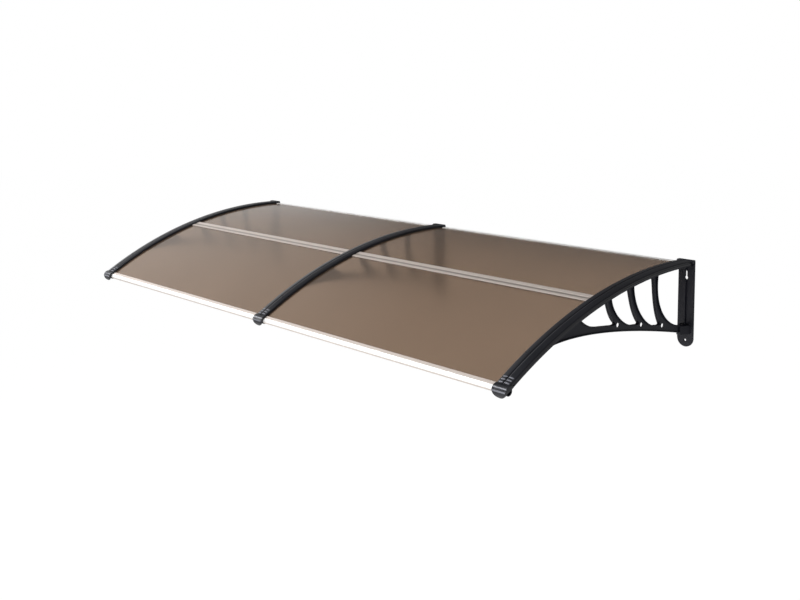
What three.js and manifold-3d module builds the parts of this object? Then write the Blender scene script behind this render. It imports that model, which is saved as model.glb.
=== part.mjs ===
// Door canopy: two bays of brown polycarbonate sheet on three black moulded brackets.
//
// Millimetres, +X right along the wall, +Y into the wall, +Z up. The wall is the plane y = 0.
// The origin lies on the back face of the middle bracket's wall plate, half way up it.
// Sheets, covers and arms are concentric arcs about one axis parallel to X. A point of a side
// view is a Vector2 of (y, z); an angle is measured from straight up towards the front.

import * as THREE from 'three';
import { mergeVertices } from 'three/addons/utils/BufferGeometryUtils.js';
import Module from 'manifold-3d';

const wasm = await Module();
wasm.setup();

// Fits
const FIT = 0.3; // clearance between pieces that touch
const OVERLAP = 1; // how far united shapes reach into each other
const ARC_STEP = 1.8; // degrees between stations of a long arc

// Layout
const PITCH = 1000; // bracket to bracket
const PROJECTION = 761; // wall to the axis of the front rail
const CREST_OUT = 28; // wall to the highest line of the sheets
const SHEET_RADIUS = 1392.8; // upper face of the sheets
const SHEET_THICKNESS = 4;
const SHEET_DROP = 6.2; // top of the wall plate down to the crest of the sheets
const SHEET_WALL_GAP = 1; // wall plate to the rear edge of the sheets
const SHEET_FRONT_INSET = 4; // rail axis back to the front edge of the sheets

// Wall plate
const PLATE_WIDTH = 51.6;
const PLATE_THICKNESS = 5;
const PLATE_ABOVE = 122; // origin to the plate's top edge
const PLATE_BELOW = 125; // origin to the foot of its round end
const KEYHOLE_Z = 73;
const KEYHOLE_DIAMETER = 10;
const KEYHOLE_SLOT_WIDTH = 5.5;
const KEYHOLE_SLOT_LENGTH = 20;
const LOWER_HOLE_Z = -106;
const LOWER_HOLE_DIAMETER = 7;

// Arm
const FLANGE_WIDTH = 38;
const FLANGE_THICKNESS = 4;
const SPINE_DEPTH = 3; // rib under the flange
const TENON_WIDTH = 6; // upstand between the sheets

// Web, its rims and struts
const WEB_THICKNESS = 3.2;
const RIM_WIDTH = 12; // across X
const RIM_THICKNESS = 2.6;
const CHORD_FOOT_Z = -87; // underside of the chord at the plate
const CHORD_REACH = 628; // wall to where the chord runs into the arm
const CHORD_BEND_OUT = 450; // control point of the chord's curve
const CHORD_BEND_RISE = 39; // above the chord's front end
const CHORD_DEPTH = 17;
const STRUT_WIDTH = 16.5;
const STRUT_TOPS = [364, 267, 156]; // wall to the middle of each strut's top, front strut first
const STRUT_LEANS = [42, 50, 37]; // how far each root lies nearer the wall
const STRUT_BOWS = [-4, -4, 4]; // front edge's control point ahead of its top
const STRUT_BEND = 0.6; // share of the way down to that control point
const STRUT_SHOULDER = 7; // rounding between a strut's front edge and the arm
const BOWL_BOWS = [-4, -2, 15]; // back edge's control point ahead of its top
const BOWL_TURNS = [0.5, 0.54, 0.63]; // share of the way down to that control point
const BOWL_FLOORS = [48, 47, 86]; // rear end of a bowl forward to its floor's control point
const BOWL_RISE = 8; // chord's extra depth at the plate
const ROOT_HOLE_DIAMETER = 12;
const FOOT_AHEAD = 16; // hole centre forward to the foot of the strut's front edge
const CORNER_LENGTH = 16; // foot of a strut's front edge forward to the chord's upper edge
const CORNER_HEIGHT = 5; // foot of a strut's front edge above the chord's upper edge
const FRONT_OPENING_OUT = 485; // wall to the tip of the front opening
const FRONT_OPENING_NECK = 85; // tip back to where the opening is level with the chord
const FRONT_OPENING_BEND = 30; // tip back to the control point between them
const RIB_DEPTH = 6; // web left standing on the plate behind the rear opening
const FOOT_WIDTH = 36; // gusset where the chord meets the plate
const FOOT_LENGTH = 34;
const FOOT_HEIGHT = 25;

// Cover strip
const COVER_WIDTH = 43;
const COVER_EDGE_HEIGHT = 7;
const COVER_CROWN = 1.6; // middle above the edges
const COVER_BEVEL = 1.4;
const COVER_FRONT_INSET = 5; // rail axis back to the cover's front end
const GROOVE_WIDTH = 2.4;
const GROOVE_DEPTH = 1.3;
const GRIP_RIBS = 3;
const GRIP_SPACING = 9.3;
const GRIP_WIDTH = 2;
const GRIP_HEIGHT = 1;
const GRIP_FIRST = 10.5; // rail axis back to the first rib
const GRIP_INSET = 5; // cover's edge in to the end of a rib
const SKIRT_THICKNESS = 2; // outer wall of the end covers
const SKIRT_HEIGHT = 4;

// Rear cap
const CAP_DEPTH = 16;
const CAP_HEIGHT = 3; // above the wall plate
const CAP_BEVEL = 2;
const CAP_SETBACK = 0.5; // wall plane to the cap's back

// Front clamp
const CLAMP_WIDTH = 46;
const CLAMP_FOOT = 24; // height of the shield's round foot, seen from the front
const CLAMP_FOOT_LIFT = 4; // barrel's underside up to the lowest point of the foot
const BARREL_RADIUS = 18.5;
const BARREL_AHEAD = 2; // barrel axis ahead of the rail axis
const BARREL_RISE = 1.5; // barrel's top above the cover's upper edge
const SHIELD_AHEAD = 11; // rail axis forward to the back of the shield
const SHIELD_CEILING = 5; // barrel axis up to the part that reaches back over the rail
const COLLAR_RADIUS = 11.5;
const COLLAR_WIDTH = 34;
const COLLAR_RECESS_RADIUS = 9;
const COLLAR_RECESS_DEPTH = 8; // in the free end of an outer clamp
const RIDGE_WIDTH = 4;
const RIDGE_HEIGHT = 0.9;
const RIDGE_ANGLES = [51, 79]; // ahead of the barrel's top, in degrees
const TONGUE_WIDTH = 16;
const TONGUE_THICKNESS = 4.4;
const TONGUE_LENGTH = 48; // rail axis back to the tongue's end

// Front rail
const NOSE_RADIUS = 9.5;
const NOSE_BORE = 5;
const NOSE_BORE_DROP = 3;
const JAW_LENGTH = 10.5; // rail axis back to the jaw's lips
const LIP_THICKNESS = 1.6;

// Rear rail
const REAR_RAIL_DEPTH = 12;
const REAR_RAIL_WALL = 1.6;

// Joint strip
const STRIP_WIDTH = 34;
const STRIP_SHIFT = 6.5; // middle of the sheets' arc forward to the strip's middle
const STRIP_WALL = 2.2;
const STRIP_WEB = 2.4;
const STRIP_GROOVE_WIDTH = 10;
const STRIP_GROOVE_AHEAD = 2.5; // strip's middle forward to the groove's
const STRIP_GROOVE_DEPTH = 0.9;

// Screws
const SCREW_HEAD_RADIUS = 4;
const SCREW_HEAD_HEIGHT = 2.4;
const SCREW_RADIUS = 1.5;
const SCREW_BITE = 4; // into the cover
const CLAMP_SCREW_BITE = 5; // into the arm

// Roundness
const BARREL_SIDES = 32;
const NOSE_SIDES = 22;
const HOLE_SIDES = 12;
const SCREW_SIDES = 8;
const PLATE_END_SIDES = 14;
const CLAMP_FOOT_SIDES = 14;
const CHORD_STEPS = 14;
const EDGE_STEPS = 8; // along a bowl
const CORNER_STEPS = 4;

// Derived radii and angles
const R_SHEET_TOP = SHEET_RADIUS;
const R_SHEET_BOTTOM = R_SHEET_TOP - SHEET_THICKNESS;
const R_COVER_BOTTOM = R_SHEET_TOP + FIT;
const R_COVER_EDGE = R_COVER_BOTTOM + COVER_EDGE_HEIGHT;
const R_FLANGE_TOP = R_SHEET_BOTTOM - FIT;
const R_FLANGE_BOTTOM = R_FLANGE_TOP - FLANGE_THICKNESS;
const R_SPINE_BOTTOM = R_FLANGE_BOTTOM - SPINE_DEPTH;
const R_BARREL = R_COVER_EDGE + BARREL_RISE - BARREL_RADIUS;
const R_JAW_TOP = R_SHEET_TOP + FIT + LIP_THICKNESS;
const R_NOSE = R_JAW_TOP - NOSE_RADIUS;
const CENTRE_Y = -CREST_OUT;
const CENTRE_Z = PLATE_ABOVE - SHEET_DROP - SHEET_RADIUS;
const RAIL_ANGLE = angleAt(PROJECTION, R_NOSE);
const SHEET_REAR_OUT = PLATE_THICKNESS + SHEET_WALL_GAP;
const SHEET_REAR_ANGLE = angleAt(SHEET_REAR_OUT, R_SHEET_TOP);
const SHEET_FRONT_ANGLE = RAIL_ANGLE - SHEET_FRONT_INSET / SHEET_RADIUS;
const JOINT_ANGLE = (SHEET_REAR_ANGLE + SHEET_FRONT_ANGLE) / 2 + STRIP_SHIFT / SHEET_RADIUS;
const TENON_HALF = TENON_WIDTH / 2;
const R_TONGUE_BOTTOM = R_FLANGE_BOTTOM - FIT - TONGUE_THICKNESS;
const TONGUE_END_ANGLE = RAIL_ANGLE - TONGUE_LENGTH / R_BARREL;
const CLAMP_SCREW_ANGLE = RAIL_ANGLE - (TONGUE_LENGTH + BARREL_RADIUS) / 2 / R_BARREL;
const OPENING_ENDS = [FRONT_OPENING_OUT, ...STRUT_TOPS, PLATE_THICKNESS + RIB_DEPTH];
const COVER_SCREW_ANGLES = [
  (angleAt(CHORD_REACH, R_FLANGE_BOTTOM) + TONGUE_END_ANGLE) / 2,
  ...STRUT_TOPS.map((_, i) => angleAt((OPENING_ENDS[i] + OPENING_ENDS[i + 1]) / 2, R_SPINE_BOTTOM)),
  angleAt((OPENING_ENDS[STRUT_TOPS.length] + OPENING_ENDS[STRUT_TOPS.length + 1]) / 2, R_SPINE_BOTTOM),
];

// Materials
const BLACK = { color: 0x26272b, roughness: 0.55, metalness: 0 };
const BLACK_GLOSS = { color: 0x2a2b30, roughness: 0.35, metalness: 0 };
const BROWN = { color: 0x86715f, roughness: 0.3, metalness: 0 };
const ALUMINIUM = { color: 0xc9c8c6, roughness: 0.32, metalness: 0.9 };
const STEEL = { color: 0xa9abad, roughness: 0.3, metalness: 1 };

// Points of the side view

function angleAt(out, radius) {
  return Math.asin((out - CREST_OUT) / radius);
}

function polar(radius, angle, ahead = 0) {
  const y = CENTRE_Y - radius * Math.sin(angle) - ahead * Math.cos(angle);
  const z = CENTRE_Z + radius * Math.cos(angle) - ahead * Math.sin(angle);
  return new THREE.Vector2(y, z);
}

function sideView(out, z) {
  return new THREE.Vector2(-out, z);
}

// Stations of every arc lie on one grid of angles, so the facets of concentric arcs are parallel.

function stations(from, to) {
  const step = THREE.MathUtils.degToRad(ARC_STEP);
  const inside = [];
  for (let i = Math.ceil(from / step); i * step < to; i += 1) {
    const clear = Math.min(i * step - from, to - i * step);
    if (clear > step / 4) inside.push(i * step);
  }
  return [from, ...inside, to];
}

function arcPoints(radius, from, to) {
  return stations(from, to).map((angle) => polar(radius, angle));
}

function arcBand(inner, outer, from, to) {
  return [...arcPoints(outer, from, to), ...arcPoints(inner, from, to).reverse()];
}

function localBox(angle, innerRadius, outerRadius, back, ahead) {
  return [
    polar(outerRadius, angle, back),
    polar(outerRadius, angle, ahead),
    polar(innerRadius, angle, ahead),
    polar(innerRadius, angle, back),
  ];
}

function circlePoints(centre, radius, sides) {
  const points = [];
  for (let i = 0; i < sides; i += 1) {
    const turn = (2 * Math.PI * i) / sides;
    points.push(new THREE.Vector2(centre.x + radius * Math.cos(turn), centre.y + radius * Math.sin(turn)));
  }
  return points;
}

// Solids

const toX = new THREE.Matrix4().makeBasis(
  new THREE.Vector3(0, 1, 0),
  new THREE.Vector3(0, 0, 1),
  new THREE.Vector3(1, 0, 0),
);
const toFront = new THREE.Matrix4().makeBasis(
  new THREE.Vector3(1, 0, 0),
  new THREE.Vector3(0, 0, 1),
  new THREE.Vector3(0, -1, 0),
);

function solidOf(geometry) {
  const bare = geometry.clone();
  bare.deleteAttribute('normal');
  bare.deleteAttribute('uv');
  const merged = mergeVertices(bare);
  const mesh = new wasm.Mesh({
    numProp: 3,
    vertProperties: merged.getAttribute('position').array,
    triVerts: Uint32Array.from(merged.index.array),
  });
  return new wasm.Manifold(mesh);
}

function geometryOf(solid) {
  const mesh = solid.getMesh();
  const geometry = new THREE.BufferGeometry();
  geometry.setAttribute('position', new THREE.BufferAttribute(mesh.vertProperties, 3));
  geometry.setIndex(new THREE.BufferAttribute(mesh.triVerts, 1));
  geometry.computeVertexNormals();
  return geometry;
}

function alongX(points, from, to) {
  const geometry = new THREE.ExtrudeGeometry(new THREE.Shape(points), {
    depth: to - from,
    bevelEnabled: false,
  });
  geometry.applyMatrix4(toX);
  geometry.translate(from, 0, 0);
  return solidOf(geometry);
}

function centredX(points, width) {
  return alongX(points, -width / 2, width / 2);
}

function outFromWall(points, from, to) {
  const geometry = new THREE.ExtrudeGeometry(new THREE.Shape(points), {
    depth: to - from,
    bevelEnabled: false,
  });
  geometry.applyMatrix4(toFront);
  geometry.translate(0, -from, 0);
  return solidOf(geometry);
}

function radialPin(profile, radius, angle) {
  const geometry = new THREE.LatheGeometry(profile, SCREW_SIDES);
  geometry.rotateX(Math.PI / 2 + angle);
  const foot = polar(radius, angle);
  geometry.translate(0, foot.x, foot.y);
  return solidOf(geometry);
}

function radialHole(from, to, angle) {
  const radius = SCREW_RADIUS + FIT;
  const profile = [
    new THREE.Vector2(0, 0),
    new THREE.Vector2(radius, 0),
    new THREE.Vector2(radius, to - from),
    new THREE.Vector2(0, to - from),
  ];
  return radialPin(profile, from, angle);
}

// Chord and struts

const chordFront = polar(R_FLANGE_BOTTOM, angleAt(CHORD_REACH, R_FLANGE_BOTTOM));
const chordCurve = new THREE.QuadraticBezierCurve(
  sideView(PLATE_THICKNESS - OVERLAP, CHORD_FOOT_Z),
  sideView(CHORD_BEND_OUT, chordFront.y + CHORD_BEND_RISE),
  chordFront,
);

function chordUnderside(out) {
  let low = 0;
  let high = 1;
  for (let i = 0; i < 40; i += 1) {
    const middle = (low + high) / 2;
    if (-chordCurve.getPoint(middle).x < out) low = middle;
    else high = middle;
  }
  return chordCurve.getPoint(low).y;
}

function chordTop(out) {
  return chordUnderside(out) + CHORD_DEPTH;
}

function underArm(out) {
  return polar(R_SPINE_BOTTOM, angleAt(out, R_SPINE_BOTTOM));
}

function makeRoot(index) {
  const out = STRUT_TOPS[index] - STRUT_LEANS[index];
  return sideView(out, chordTop(out));
}

const roots = STRUT_TOPS.map((_, index) => makeRoot(index));

// Where a bowl's floor ends, ahead of the next strut, or at the rib on the wall plate.

function bowlEnd(index) {
  if (index < STRUT_TOPS.length) {
    const out = -roots[index].x + FOOT_AHEAD + CORNER_LENGTH;
    return sideView(out, chordTop(out));
  }
  const out = PLATE_THICKNESS + RIB_DEPTH;
  return sideView(out, chordTop(out) + BOWL_RISE);
}

function aheadOfStrut(index) {
  const end = bowlEnd(index);
  const top = underArm(STRUT_TOPS[index] + STRUT_WIDTH / 2);
  const footOut = -roots[index].x + FOOT_AHEAD;
  const foot = sideView(footOut, chordTop(footOut) + CORNER_HEIGHT);
  const corner = new THREE.QuadraticBezierCurve(end, sideView(footOut, chordTop(footOut)), foot);
  const front = new THREE.CubicBezierCurve(
    foot,
    sideView(STRUT_BOWS[index] - top.x, THREE.MathUtils.lerp(top.y, foot.y, STRUT_BEND)),
    sideView(-top.x - STRUT_SHOULDER / 2, top.y - STRUT_SHOULDER),
    underArm(-top.x + STRUT_SHOULDER),
  );
  return [...corner.getPoints(CORNER_STEPS), ...front.getPoints(EDGE_STEPS).slice(1)];
}

function behindStrut(index) {
  const end = bowlEnd(index + 1);
  const top = underArm(STRUT_TOPS[index] - STRUT_WIDTH / 2);
  const bowl = new THREE.CubicBezierCurve(
    top,
    sideView(BOWL_BOWS[index] - top.x, THREE.MathUtils.lerp(top.y, end.y, BOWL_TURNS[index])),
    sideView(BOWL_FLOORS[index] - end.x, end.y),
    end,
  );
  return bowl.getPoints(EDGE_STEPS);
}

function tipOfFrontOpening() {
  const neckOut = FRONT_OPENING_OUT - FRONT_OPENING_NECK;
  const bendOut = FRONT_OPENING_OUT - FRONT_OPENING_BEND;
  const tip = new THREE.QuadraticBezierCurve(
    underArm(FRONT_OPENING_OUT),
    sideView(bendOut, chordTop(bendOut)),
    sideView(neckOut, chordTop(neckOut)),
  );
  return tip.getPoints(CORNER_STEPS);
}

// Lower and side edge of each opening, from its front top corner round to its rear one.

function openingEdges() {
  const edges = [[...tipOfFrontOpening(), ...aheadOfStrut(0)]];
  STRUT_TOPS.forEach((_, index) => {
    const rear = index + 1 < STRUT_TOPS.length ? aheadOfStrut(index + 1).slice(1) : [];
    edges.push([...behindStrut(index), ...rear]);
  });
  return edges;
}

function openingOutline(edge) {
  const rearAngle = angleAt(-edge[edge.length - 1].x, R_SPINE_BOTTOM);
  const frontAngle = angleAt(-edge[0].x, R_SPINE_BOTTOM);
  const below = edge.filter((point) => point.distanceTo(centre()) < R_SPINE_BOTTOM - FIT);
  return [...below, ...arcPoints(R_SPINE_BOTTOM, rearAngle, frontAngle)];
}

function centre() {
  return new THREE.Vector2(CENTRE_Y, CENTRE_Z);
}

// A strip of even thickness on the right-hand side of a line of points.

function stripBeside(points, thickness) {
  const shifted = points.map((point, i) => {
    const before = points[Math.max(0, i - 1)];
    const after = points[Math.min(points.length - 1, i + 1)];
    const along = after.clone().sub(before).normalize();
    return new THREE.Vector2(point.x + thickness * along.y, point.y - thickness * along.x);
  });
  return [...points, ...shifted.reverse()];
}

// Bracket

function wallPlate() {
  const half = PLATE_WIDTH / 2;
  const points = [new THREE.Vector2(half, PLATE_ABOVE), new THREE.Vector2(-half, PLATE_ABOVE)];
  for (let i = 0; i <= PLATE_END_SIDES; i += 1) {
    const turn = Math.PI + (Math.PI * i) / PLATE_END_SIDES;
    points.push(new THREE.Vector2(half * Math.cos(turn), half - PLATE_BELOW + half * Math.sin(turn)));
  }
  const slotHalf = KEYHOLE_SLOT_WIDTH / 2;
  const slotTop = KEYHOLE_Z + KEYHOLE_SLOT_LENGTH;
  const slot = [
    new THREE.Vector2(slotHalf, KEYHOLE_Z),
    new THREE.Vector2(slotHalf, slotTop),
    new THREE.Vector2(-slotHalf, slotTop),
    new THREE.Vector2(-slotHalf, KEYHOLE_Z),
  ];
  const keyhole = circlePoints(new THREE.Vector2(0, KEYHOLE_Z), KEYHOLE_DIAMETER / 2, HOLE_SIDES);
  const lower = circlePoints(new THREE.Vector2(0, LOWER_HOLE_Z), LOWER_HOLE_DIAMETER / 2, HOLE_SIDES);
  let body = outFromWall(points, 0, PLATE_THICKNESS);
  for (const outline of [keyhole, slot, lower]) {
    body = body.subtract(outFromWall(outline, -OVERLAP, PLATE_THICKNESS + OVERLAP));
  }
  return body;
}

function web(edges) {
  const rearAngle = angleAt(PLATE_THICKNESS - OVERLAP, R_FLANGE_BOTTOM);
  const frontAngle = angleAt(CHORD_REACH, R_FLANGE_BOTTOM);
  const outline = [
    ...arcPoints(R_FLANGE_BOTTOM, rearAngle, frontAngle),
    ...chordCurve.getPoints(CHORD_STEPS).reverse().slice(1),
  ];
  let body = centredX(outline, WEB_THICKNESS);
  for (const edge of edges) {
    body = body.subtract(centredX(openingOutline(edge), WEB_THICKNESS + 2 * OVERLAP));
  }
  return body;
}

function rims(edges) {
  const chordRim = stripBeside(chordCurve.getPoints(CHORD_STEPS), RIM_THICKNESS);
  let body = centredX(chordRim, RIM_WIDTH);
  for (const edge of edges) {
    body = body.add(centredX(stripBeside(edge, RIM_THICKNESS), RIM_WIDTH));
  }
  const aboveArm = arcBand(R_FLANGE_BOTTOM + OVERLAP, R_COVER_EDGE, SHEET_REAR_ANGLE, RAIL_ANGLE);
  return body.subtract(centredX(aboveArm, RIM_WIDTH + 2 * OVERLAP));
}

function chordFoot() {
  const near = PLATE_THICKNESS - OVERLAP;
  const far = PLATE_THICKNESS + FOOT_LENGTH;
  const shape = new THREE.Shape([
    new THREE.Vector2(-FOOT_WIDTH / 2, -near),
    new THREE.Vector2(-RIM_WIDTH / 2, -far),
    new THREE.Vector2(RIM_WIDTH / 2, -far),
    new THREE.Vector2(FOOT_WIDTH / 2, -near),
  ]);
  const geometry = new THREE.ExtrudeGeometry(shape, { depth: FOOT_HEIGHT, bevelEnabled: false });
  geometry.translate(0, 0, CHORD_FOOT_Z + OVERLAP);
  return solidOf(geometry);
}

function keyholeAccess() {
  const far = PLATE_THICKNESS + RIB_DEPTH + OVERLAP;
  const low = KEYHOLE_Z - KEYHOLE_DIAMETER / 2 - OVERLAP;
  const high = KEYHOLE_Z + KEYHOLE_SLOT_LENGTH + OVERLAP;
  const outline = [sideView(0, high), sideView(far, high), sideView(far, low), sideView(0, low)];
  return centredX(outline, RIM_WIDTH + 2 * OVERLAP);
}

function makeBracket() {
  const wallAngle = angleAt(PLATE_THICKNESS - OVERLAP, R_FLANGE_TOP);
  const spineEnd = TONGUE_END_ANGLE - FIT / R_BARREL;
  const edges = openingEdges();
  const flange = arcBand(R_FLANGE_BOTTOM, R_FLANGE_TOP, wallAngle, RAIL_ANGLE);
  const spine = arcBand(R_SPINE_BOTTOM, R_FLANGE_BOTTOM + OVERLAP, wallAngle, spineEnd);
  const tenon = arcBand(R_FLANGE_TOP - OVERLAP, R_SHEET_TOP, wallAngle, RAIL_ANGLE);
  let body = web(edges).add(rims(edges)).add(chordFoot()).subtract(keyholeAccess());
  body = body.add(wallPlate()).add(centredX(flange, FLANGE_WIDTH)).add(centredX(spine, RIM_WIDTH));
  body = body.add(centredX(tenon, TENON_WIDTH)).subtract(barrelSpace());
  for (const root of roots) {
    const hole = circlePoints(root, ROOT_HOLE_DIAMETER / 2, HOLE_SIDES);
    body = body.subtract(centredX(hole, RIM_WIDTH + 2 * OVERLAP));
  }
  for (const angle of COVER_SCREW_ANGLES) {
    const hole = radialHole(R_SPINE_BOTTOM - OVERLAP, R_COVER_BOTTOM, angle);
    body = body.subtract(hole);
  }
  return body.subtract(clampScrewHole());
}

// Cover strip, with the grip ribs at its front end

class ArcPath extends THREE.Curve {
  constructor(radius, from, to) {
    super();
    this.radius = radius;
    this.from = from;
    this.to = to;
  }

  getPoint(t, target = new THREE.Vector3()) {
    const point = polar(this.radius, THREE.MathUtils.lerp(this.from, this.to, t));
    return target.set(0, point.x, point.y);
  }
}

// The section's x runs across the strip and its height is measured out from the radius.

function sweep(section, radius, from, to) {
  const points = section.map(([across, height]) => new THREE.Vector2(across, -height));
  const geometry = new THREE.ExtrudeGeometry(new THREE.Shape(points), {
    steps: Math.ceil((to - from) / THREE.MathUtils.degToRad(ARC_STEP)),
    extrudePath: new ArcPath(radius, from, to),
  });
  return solidOf(geometry);
}

function coverSection() {
  const half = COVER_WIDTH / 2;
  const groove = GROOVE_WIDTH / 2;
  const crown = COVER_EDGE_HEIGHT + COVER_CROWN;
  const right = [
    [half, 0],
    [half, COVER_EDGE_HEIGHT - COVER_BEVEL],
    [half - COVER_BEVEL, COVER_EDGE_HEIGHT],
    [groove, crown],
    [groove, crown - GROOVE_DEPTH],
  ];
  const left = right.map(([across, height]) => [-across, height]).reverse();
  return [...right, ...left];
}

function gripRib(side, angle) {
  const half = COVER_WIDTH / 2 - GRIP_INSET;
  const groove = GROOVE_WIDTH / 2;
  const crown = COVER_EDGE_HEIGHT + COVER_CROWN;
  const width = GRIP_WIDTH / R_COVER_EDGE;
  const section = [
    [side * groove, crown - OVERLAP],
    [side * half, COVER_EDGE_HEIGHT - OVERLAP],
    [side * half, COVER_EDGE_HEIGHT + GRIP_HEIGHT],
    [side * groove, crown + GRIP_HEIGHT],
  ];
  return sweep(section, R_COVER_BOTTOM, angle - width / 2, angle + width / 2);
}

function makeCover(outerSide) {
  const start = angleAt(CAP_DEPTH + FIT, R_COVER_BOTTOM);
  const end = RAIL_ANGLE - COVER_FRONT_INSET / R_COVER_EDGE;
  let body = sweep(coverSection(), R_COVER_BOTTOM, start, end);
  if (outerSide !== 0) {
    const skirt = arcBand(R_COVER_BOTTOM - SKIRT_HEIGHT, R_COVER_BOTTOM + OVERLAP, start, end);
    const outer = (outerSide * COVER_WIDTH) / 2;
    const inner = outer - outerSide * SKIRT_THICKNESS;
    body = body.add(alongX(skirt, Math.min(inner, outer), Math.max(inner, outer)));
  }
  for (let i = 0; i < GRIP_RIBS; i += 1) {
    const angle = RAIL_ANGLE - (GRIP_FIRST + i * GRIP_SPACING) / R_COVER_EDGE;
    body = body.add(gripRib(1, angle)).add(gripRib(-1, angle));
  }
  body = body.subtract(barrelSpace());
  for (const angle of COVER_SCREW_ANGLES) {
    const top = R_COVER_BOTTOM + SCREW_BITE + FIT;
    body = body.subtract(radialHole(R_COVER_BOTTOM - OVERLAP, top, angle));
  }
  return body;
}

// Rear cap over the top of the wall plate

function makeCap() {
  const top = PLATE_ABOVE + CAP_HEIGHT;
  const front = PLATE_THICKNESS + FIT;
  const under = (out) => polar(R_COVER_BOTTOM, angleAt(out, R_COVER_BOTTOM));
  const outline = [
    sideView(CAP_SETBACK, top),
    sideView(CAP_DEPTH - CAP_BEVEL, top),
    sideView(CAP_DEPTH, top - CAP_BEVEL),
    under(CAP_DEPTH),
    under(front),
    sideView(front, PLATE_ABOVE + FIT),
    sideView(CAP_SETBACK, PLATE_ABOVE + FIT),
  ];
  return centredX(outline, PLATE_WIDTH);
}

// Front clamp: a collar that holds the rail ends, behind a bulging shield with a round foot

function barrelAxis() {
  return polar(R_BARREL, RAIL_ANGLE, BARREL_AHEAD);
}

function barrelSpace() {
  const outline = circlePoints(barrelAxis(), BARREL_RADIUS + FIT, BARREL_SIDES);
  return centredX(outline, CLAMP_WIDTH + 2 * OVERLAP);
}

function clampFront() {
  const half = CLAMP_WIDTH / 2;
  const footZ = barrelAxis().y - BARREL_RADIUS + CLAMP_FOOT_LIFT + CLAMP_FOOT;
  const points = [new THREE.Vector2(half, PLATE_ABOVE), new THREE.Vector2(-half, PLATE_ABOVE)];
  for (let i = 0; i <= CLAMP_FOOT_SIDES; i += 1) {
    const turn = Math.PI + (Math.PI * i) / CLAMP_FOOT_SIDES;
    points.push(new THREE.Vector2(half * Math.cos(turn), footZ + CLAMP_FOOT * Math.sin(turn)));
  }
  return outFromWall(points, 0, PROJECTION + 2 * BARREL_RADIUS);
}

function ridge(degrees) {
  const turn = THREE.MathUtils.degToRad(degrees);
  const axis = barrelAxis();
  const outward = new THREE.Vector2(-Math.sin(turn), Math.cos(turn));
  const along = new THREE.Vector2(-Math.cos(turn), -Math.sin(turn));
  const corner = (distance, side) =>
    axis.clone().addScaledVector(outward, distance).addScaledVector(along, (side * RIDGE_WIDTH) / 2);
  const low = BARREL_RADIUS - OVERLAP;
  const high = BARREL_RADIUS + RIDGE_HEIGHT;
  return centredX([corner(low, -1), corner(high, -1), corner(high, 1), corner(low, 1)], CLAMP_WIDTH);
}

function clampScrewHole() {
  const top = R_FLANGE_BOTTOM + CLAMP_SCREW_BITE + FIT;
  return radialHole(R_FLANGE_BOTTOM - OVERLAP, top, CLAMP_SCREW_ANGLE);
}

function makeClamp(openSides) {
  const half = CLAMP_WIDTH / 2;
  const collarHalf = COLLAR_WIDTH / 2;
  const nose = polar(R_NOSE, RAIL_ANGLE);
  const ceiling = R_BARREL + SHIELD_CEILING;
  const overRail = polar(ceiling, RAIL_ANGLE, SHIELD_AHEAD);
  const behind = [
    overRail,
    new THREE.Vector2(overRail.x, overRail.y - 2 * BARREL_RADIUS),
    new THREE.Vector2(overRail.x + 2 * BARREL_RADIUS, overRail.y - 2 * BARREL_RADIUS),
    polar(ceiling, RAIL_ANGLE, -2 * BARREL_RADIUS),
  ];
  const slot = localBox(RAIL_ANGLE, R_FLANGE_TOP, R_COVER_BOTTOM, -2 * BARREL_RADIUS, FIT - SHEET_FRONT_INSET);
  const tongue = arcBand(R_TONGUE_BOTTOM, R_TONGUE_BOTTOM + TONGUE_THICKNESS, TONGUE_END_ANGLE, RAIL_ANGLE);
  let body = centredX(circlePoints(barrelAxis(), BARREL_RADIUS, BARREL_SIDES), CLAMP_WIDTH);
  for (const degrees of RIDGE_ANGLES) {
    body = body.add(ridge(degrees));
  }
  body = body.intersect(clampFront()).subtract(centredX(behind, CLAMP_WIDTH + 2 * OVERLAP));
  body = body.add(centredX(circlePoints(nose, COLLAR_RADIUS, NOSE_SIDES), COLLAR_WIDTH));
  body = body.add(centredX(tongue, TONGUE_WIDTH));
  for (const side of [-1, 1]) {
    const span = (points, inner, outer) =>
      alongX(points, Math.min(side * inner, side * outer), Math.max(side * inner, side * outer));
    if (openSides.includes(side)) {
      body = body.subtract(span(circlePoints(nose, NOSE_RADIUS + FIT, NOSE_SIDES), TENON_HALF, half + OVERLAP));
      body = body.subtract(span(slot, TENON_HALF, half + OVERLAP));
    } else {
      const recess = circlePoints(nose, COLLAR_RECESS_RADIUS, NOSE_SIDES);
      body = body.subtract(span(recess, collarHalf - COLLAR_RECESS_DEPTH, collarHalf + OVERLAP));
    }
  }
  return body.subtract(radialHole(R_TONGUE_BOTTOM - OVERLAP, R_FLANGE_BOTTOM, CLAMP_SCREW_ANGLE));
}

// Rails and the strip that joins the sheets. Each bay's pieces are built between x = 0 and
// x = PITCH, the axes of its two brackets.

function acrossBay(points, inset) {
  return alongX(points, inset, PITCH - inset);
}

function makeFrontRail() {
  const nose = circlePoints(polar(R_NOSE, RAIL_ANGLE), NOSE_RADIUS, NOSE_SIDES);
  const bore = circlePoints(polar(R_NOSE - NOSE_BORE_DROP, RAIL_ANGLE), NOSE_BORE, NOSE_SIDES);
  const jawBottom = R_FLANGE_TOP - LIP_THICKNESS;
  const jaw = localBox(RAIL_ANGLE, jawBottom, R_JAW_TOP, -JAW_LENGTH, 0);
  const slot = localBox(
    RAIL_ANGLE,
    R_FLANGE_TOP,
    R_COVER_BOTTOM,
    -JAW_LENGTH - OVERLAP,
    FIT - SHEET_FRONT_INSET,
  );
  const body = acrossBay(nose, TENON_HALF + FIT).add(acrossBay(jaw, CLAMP_WIDTH / 2 + FIT));
  return body.subtract(acrossBay(slot, 0)).subtract(acrossBay(bore, 0));
}

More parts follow.
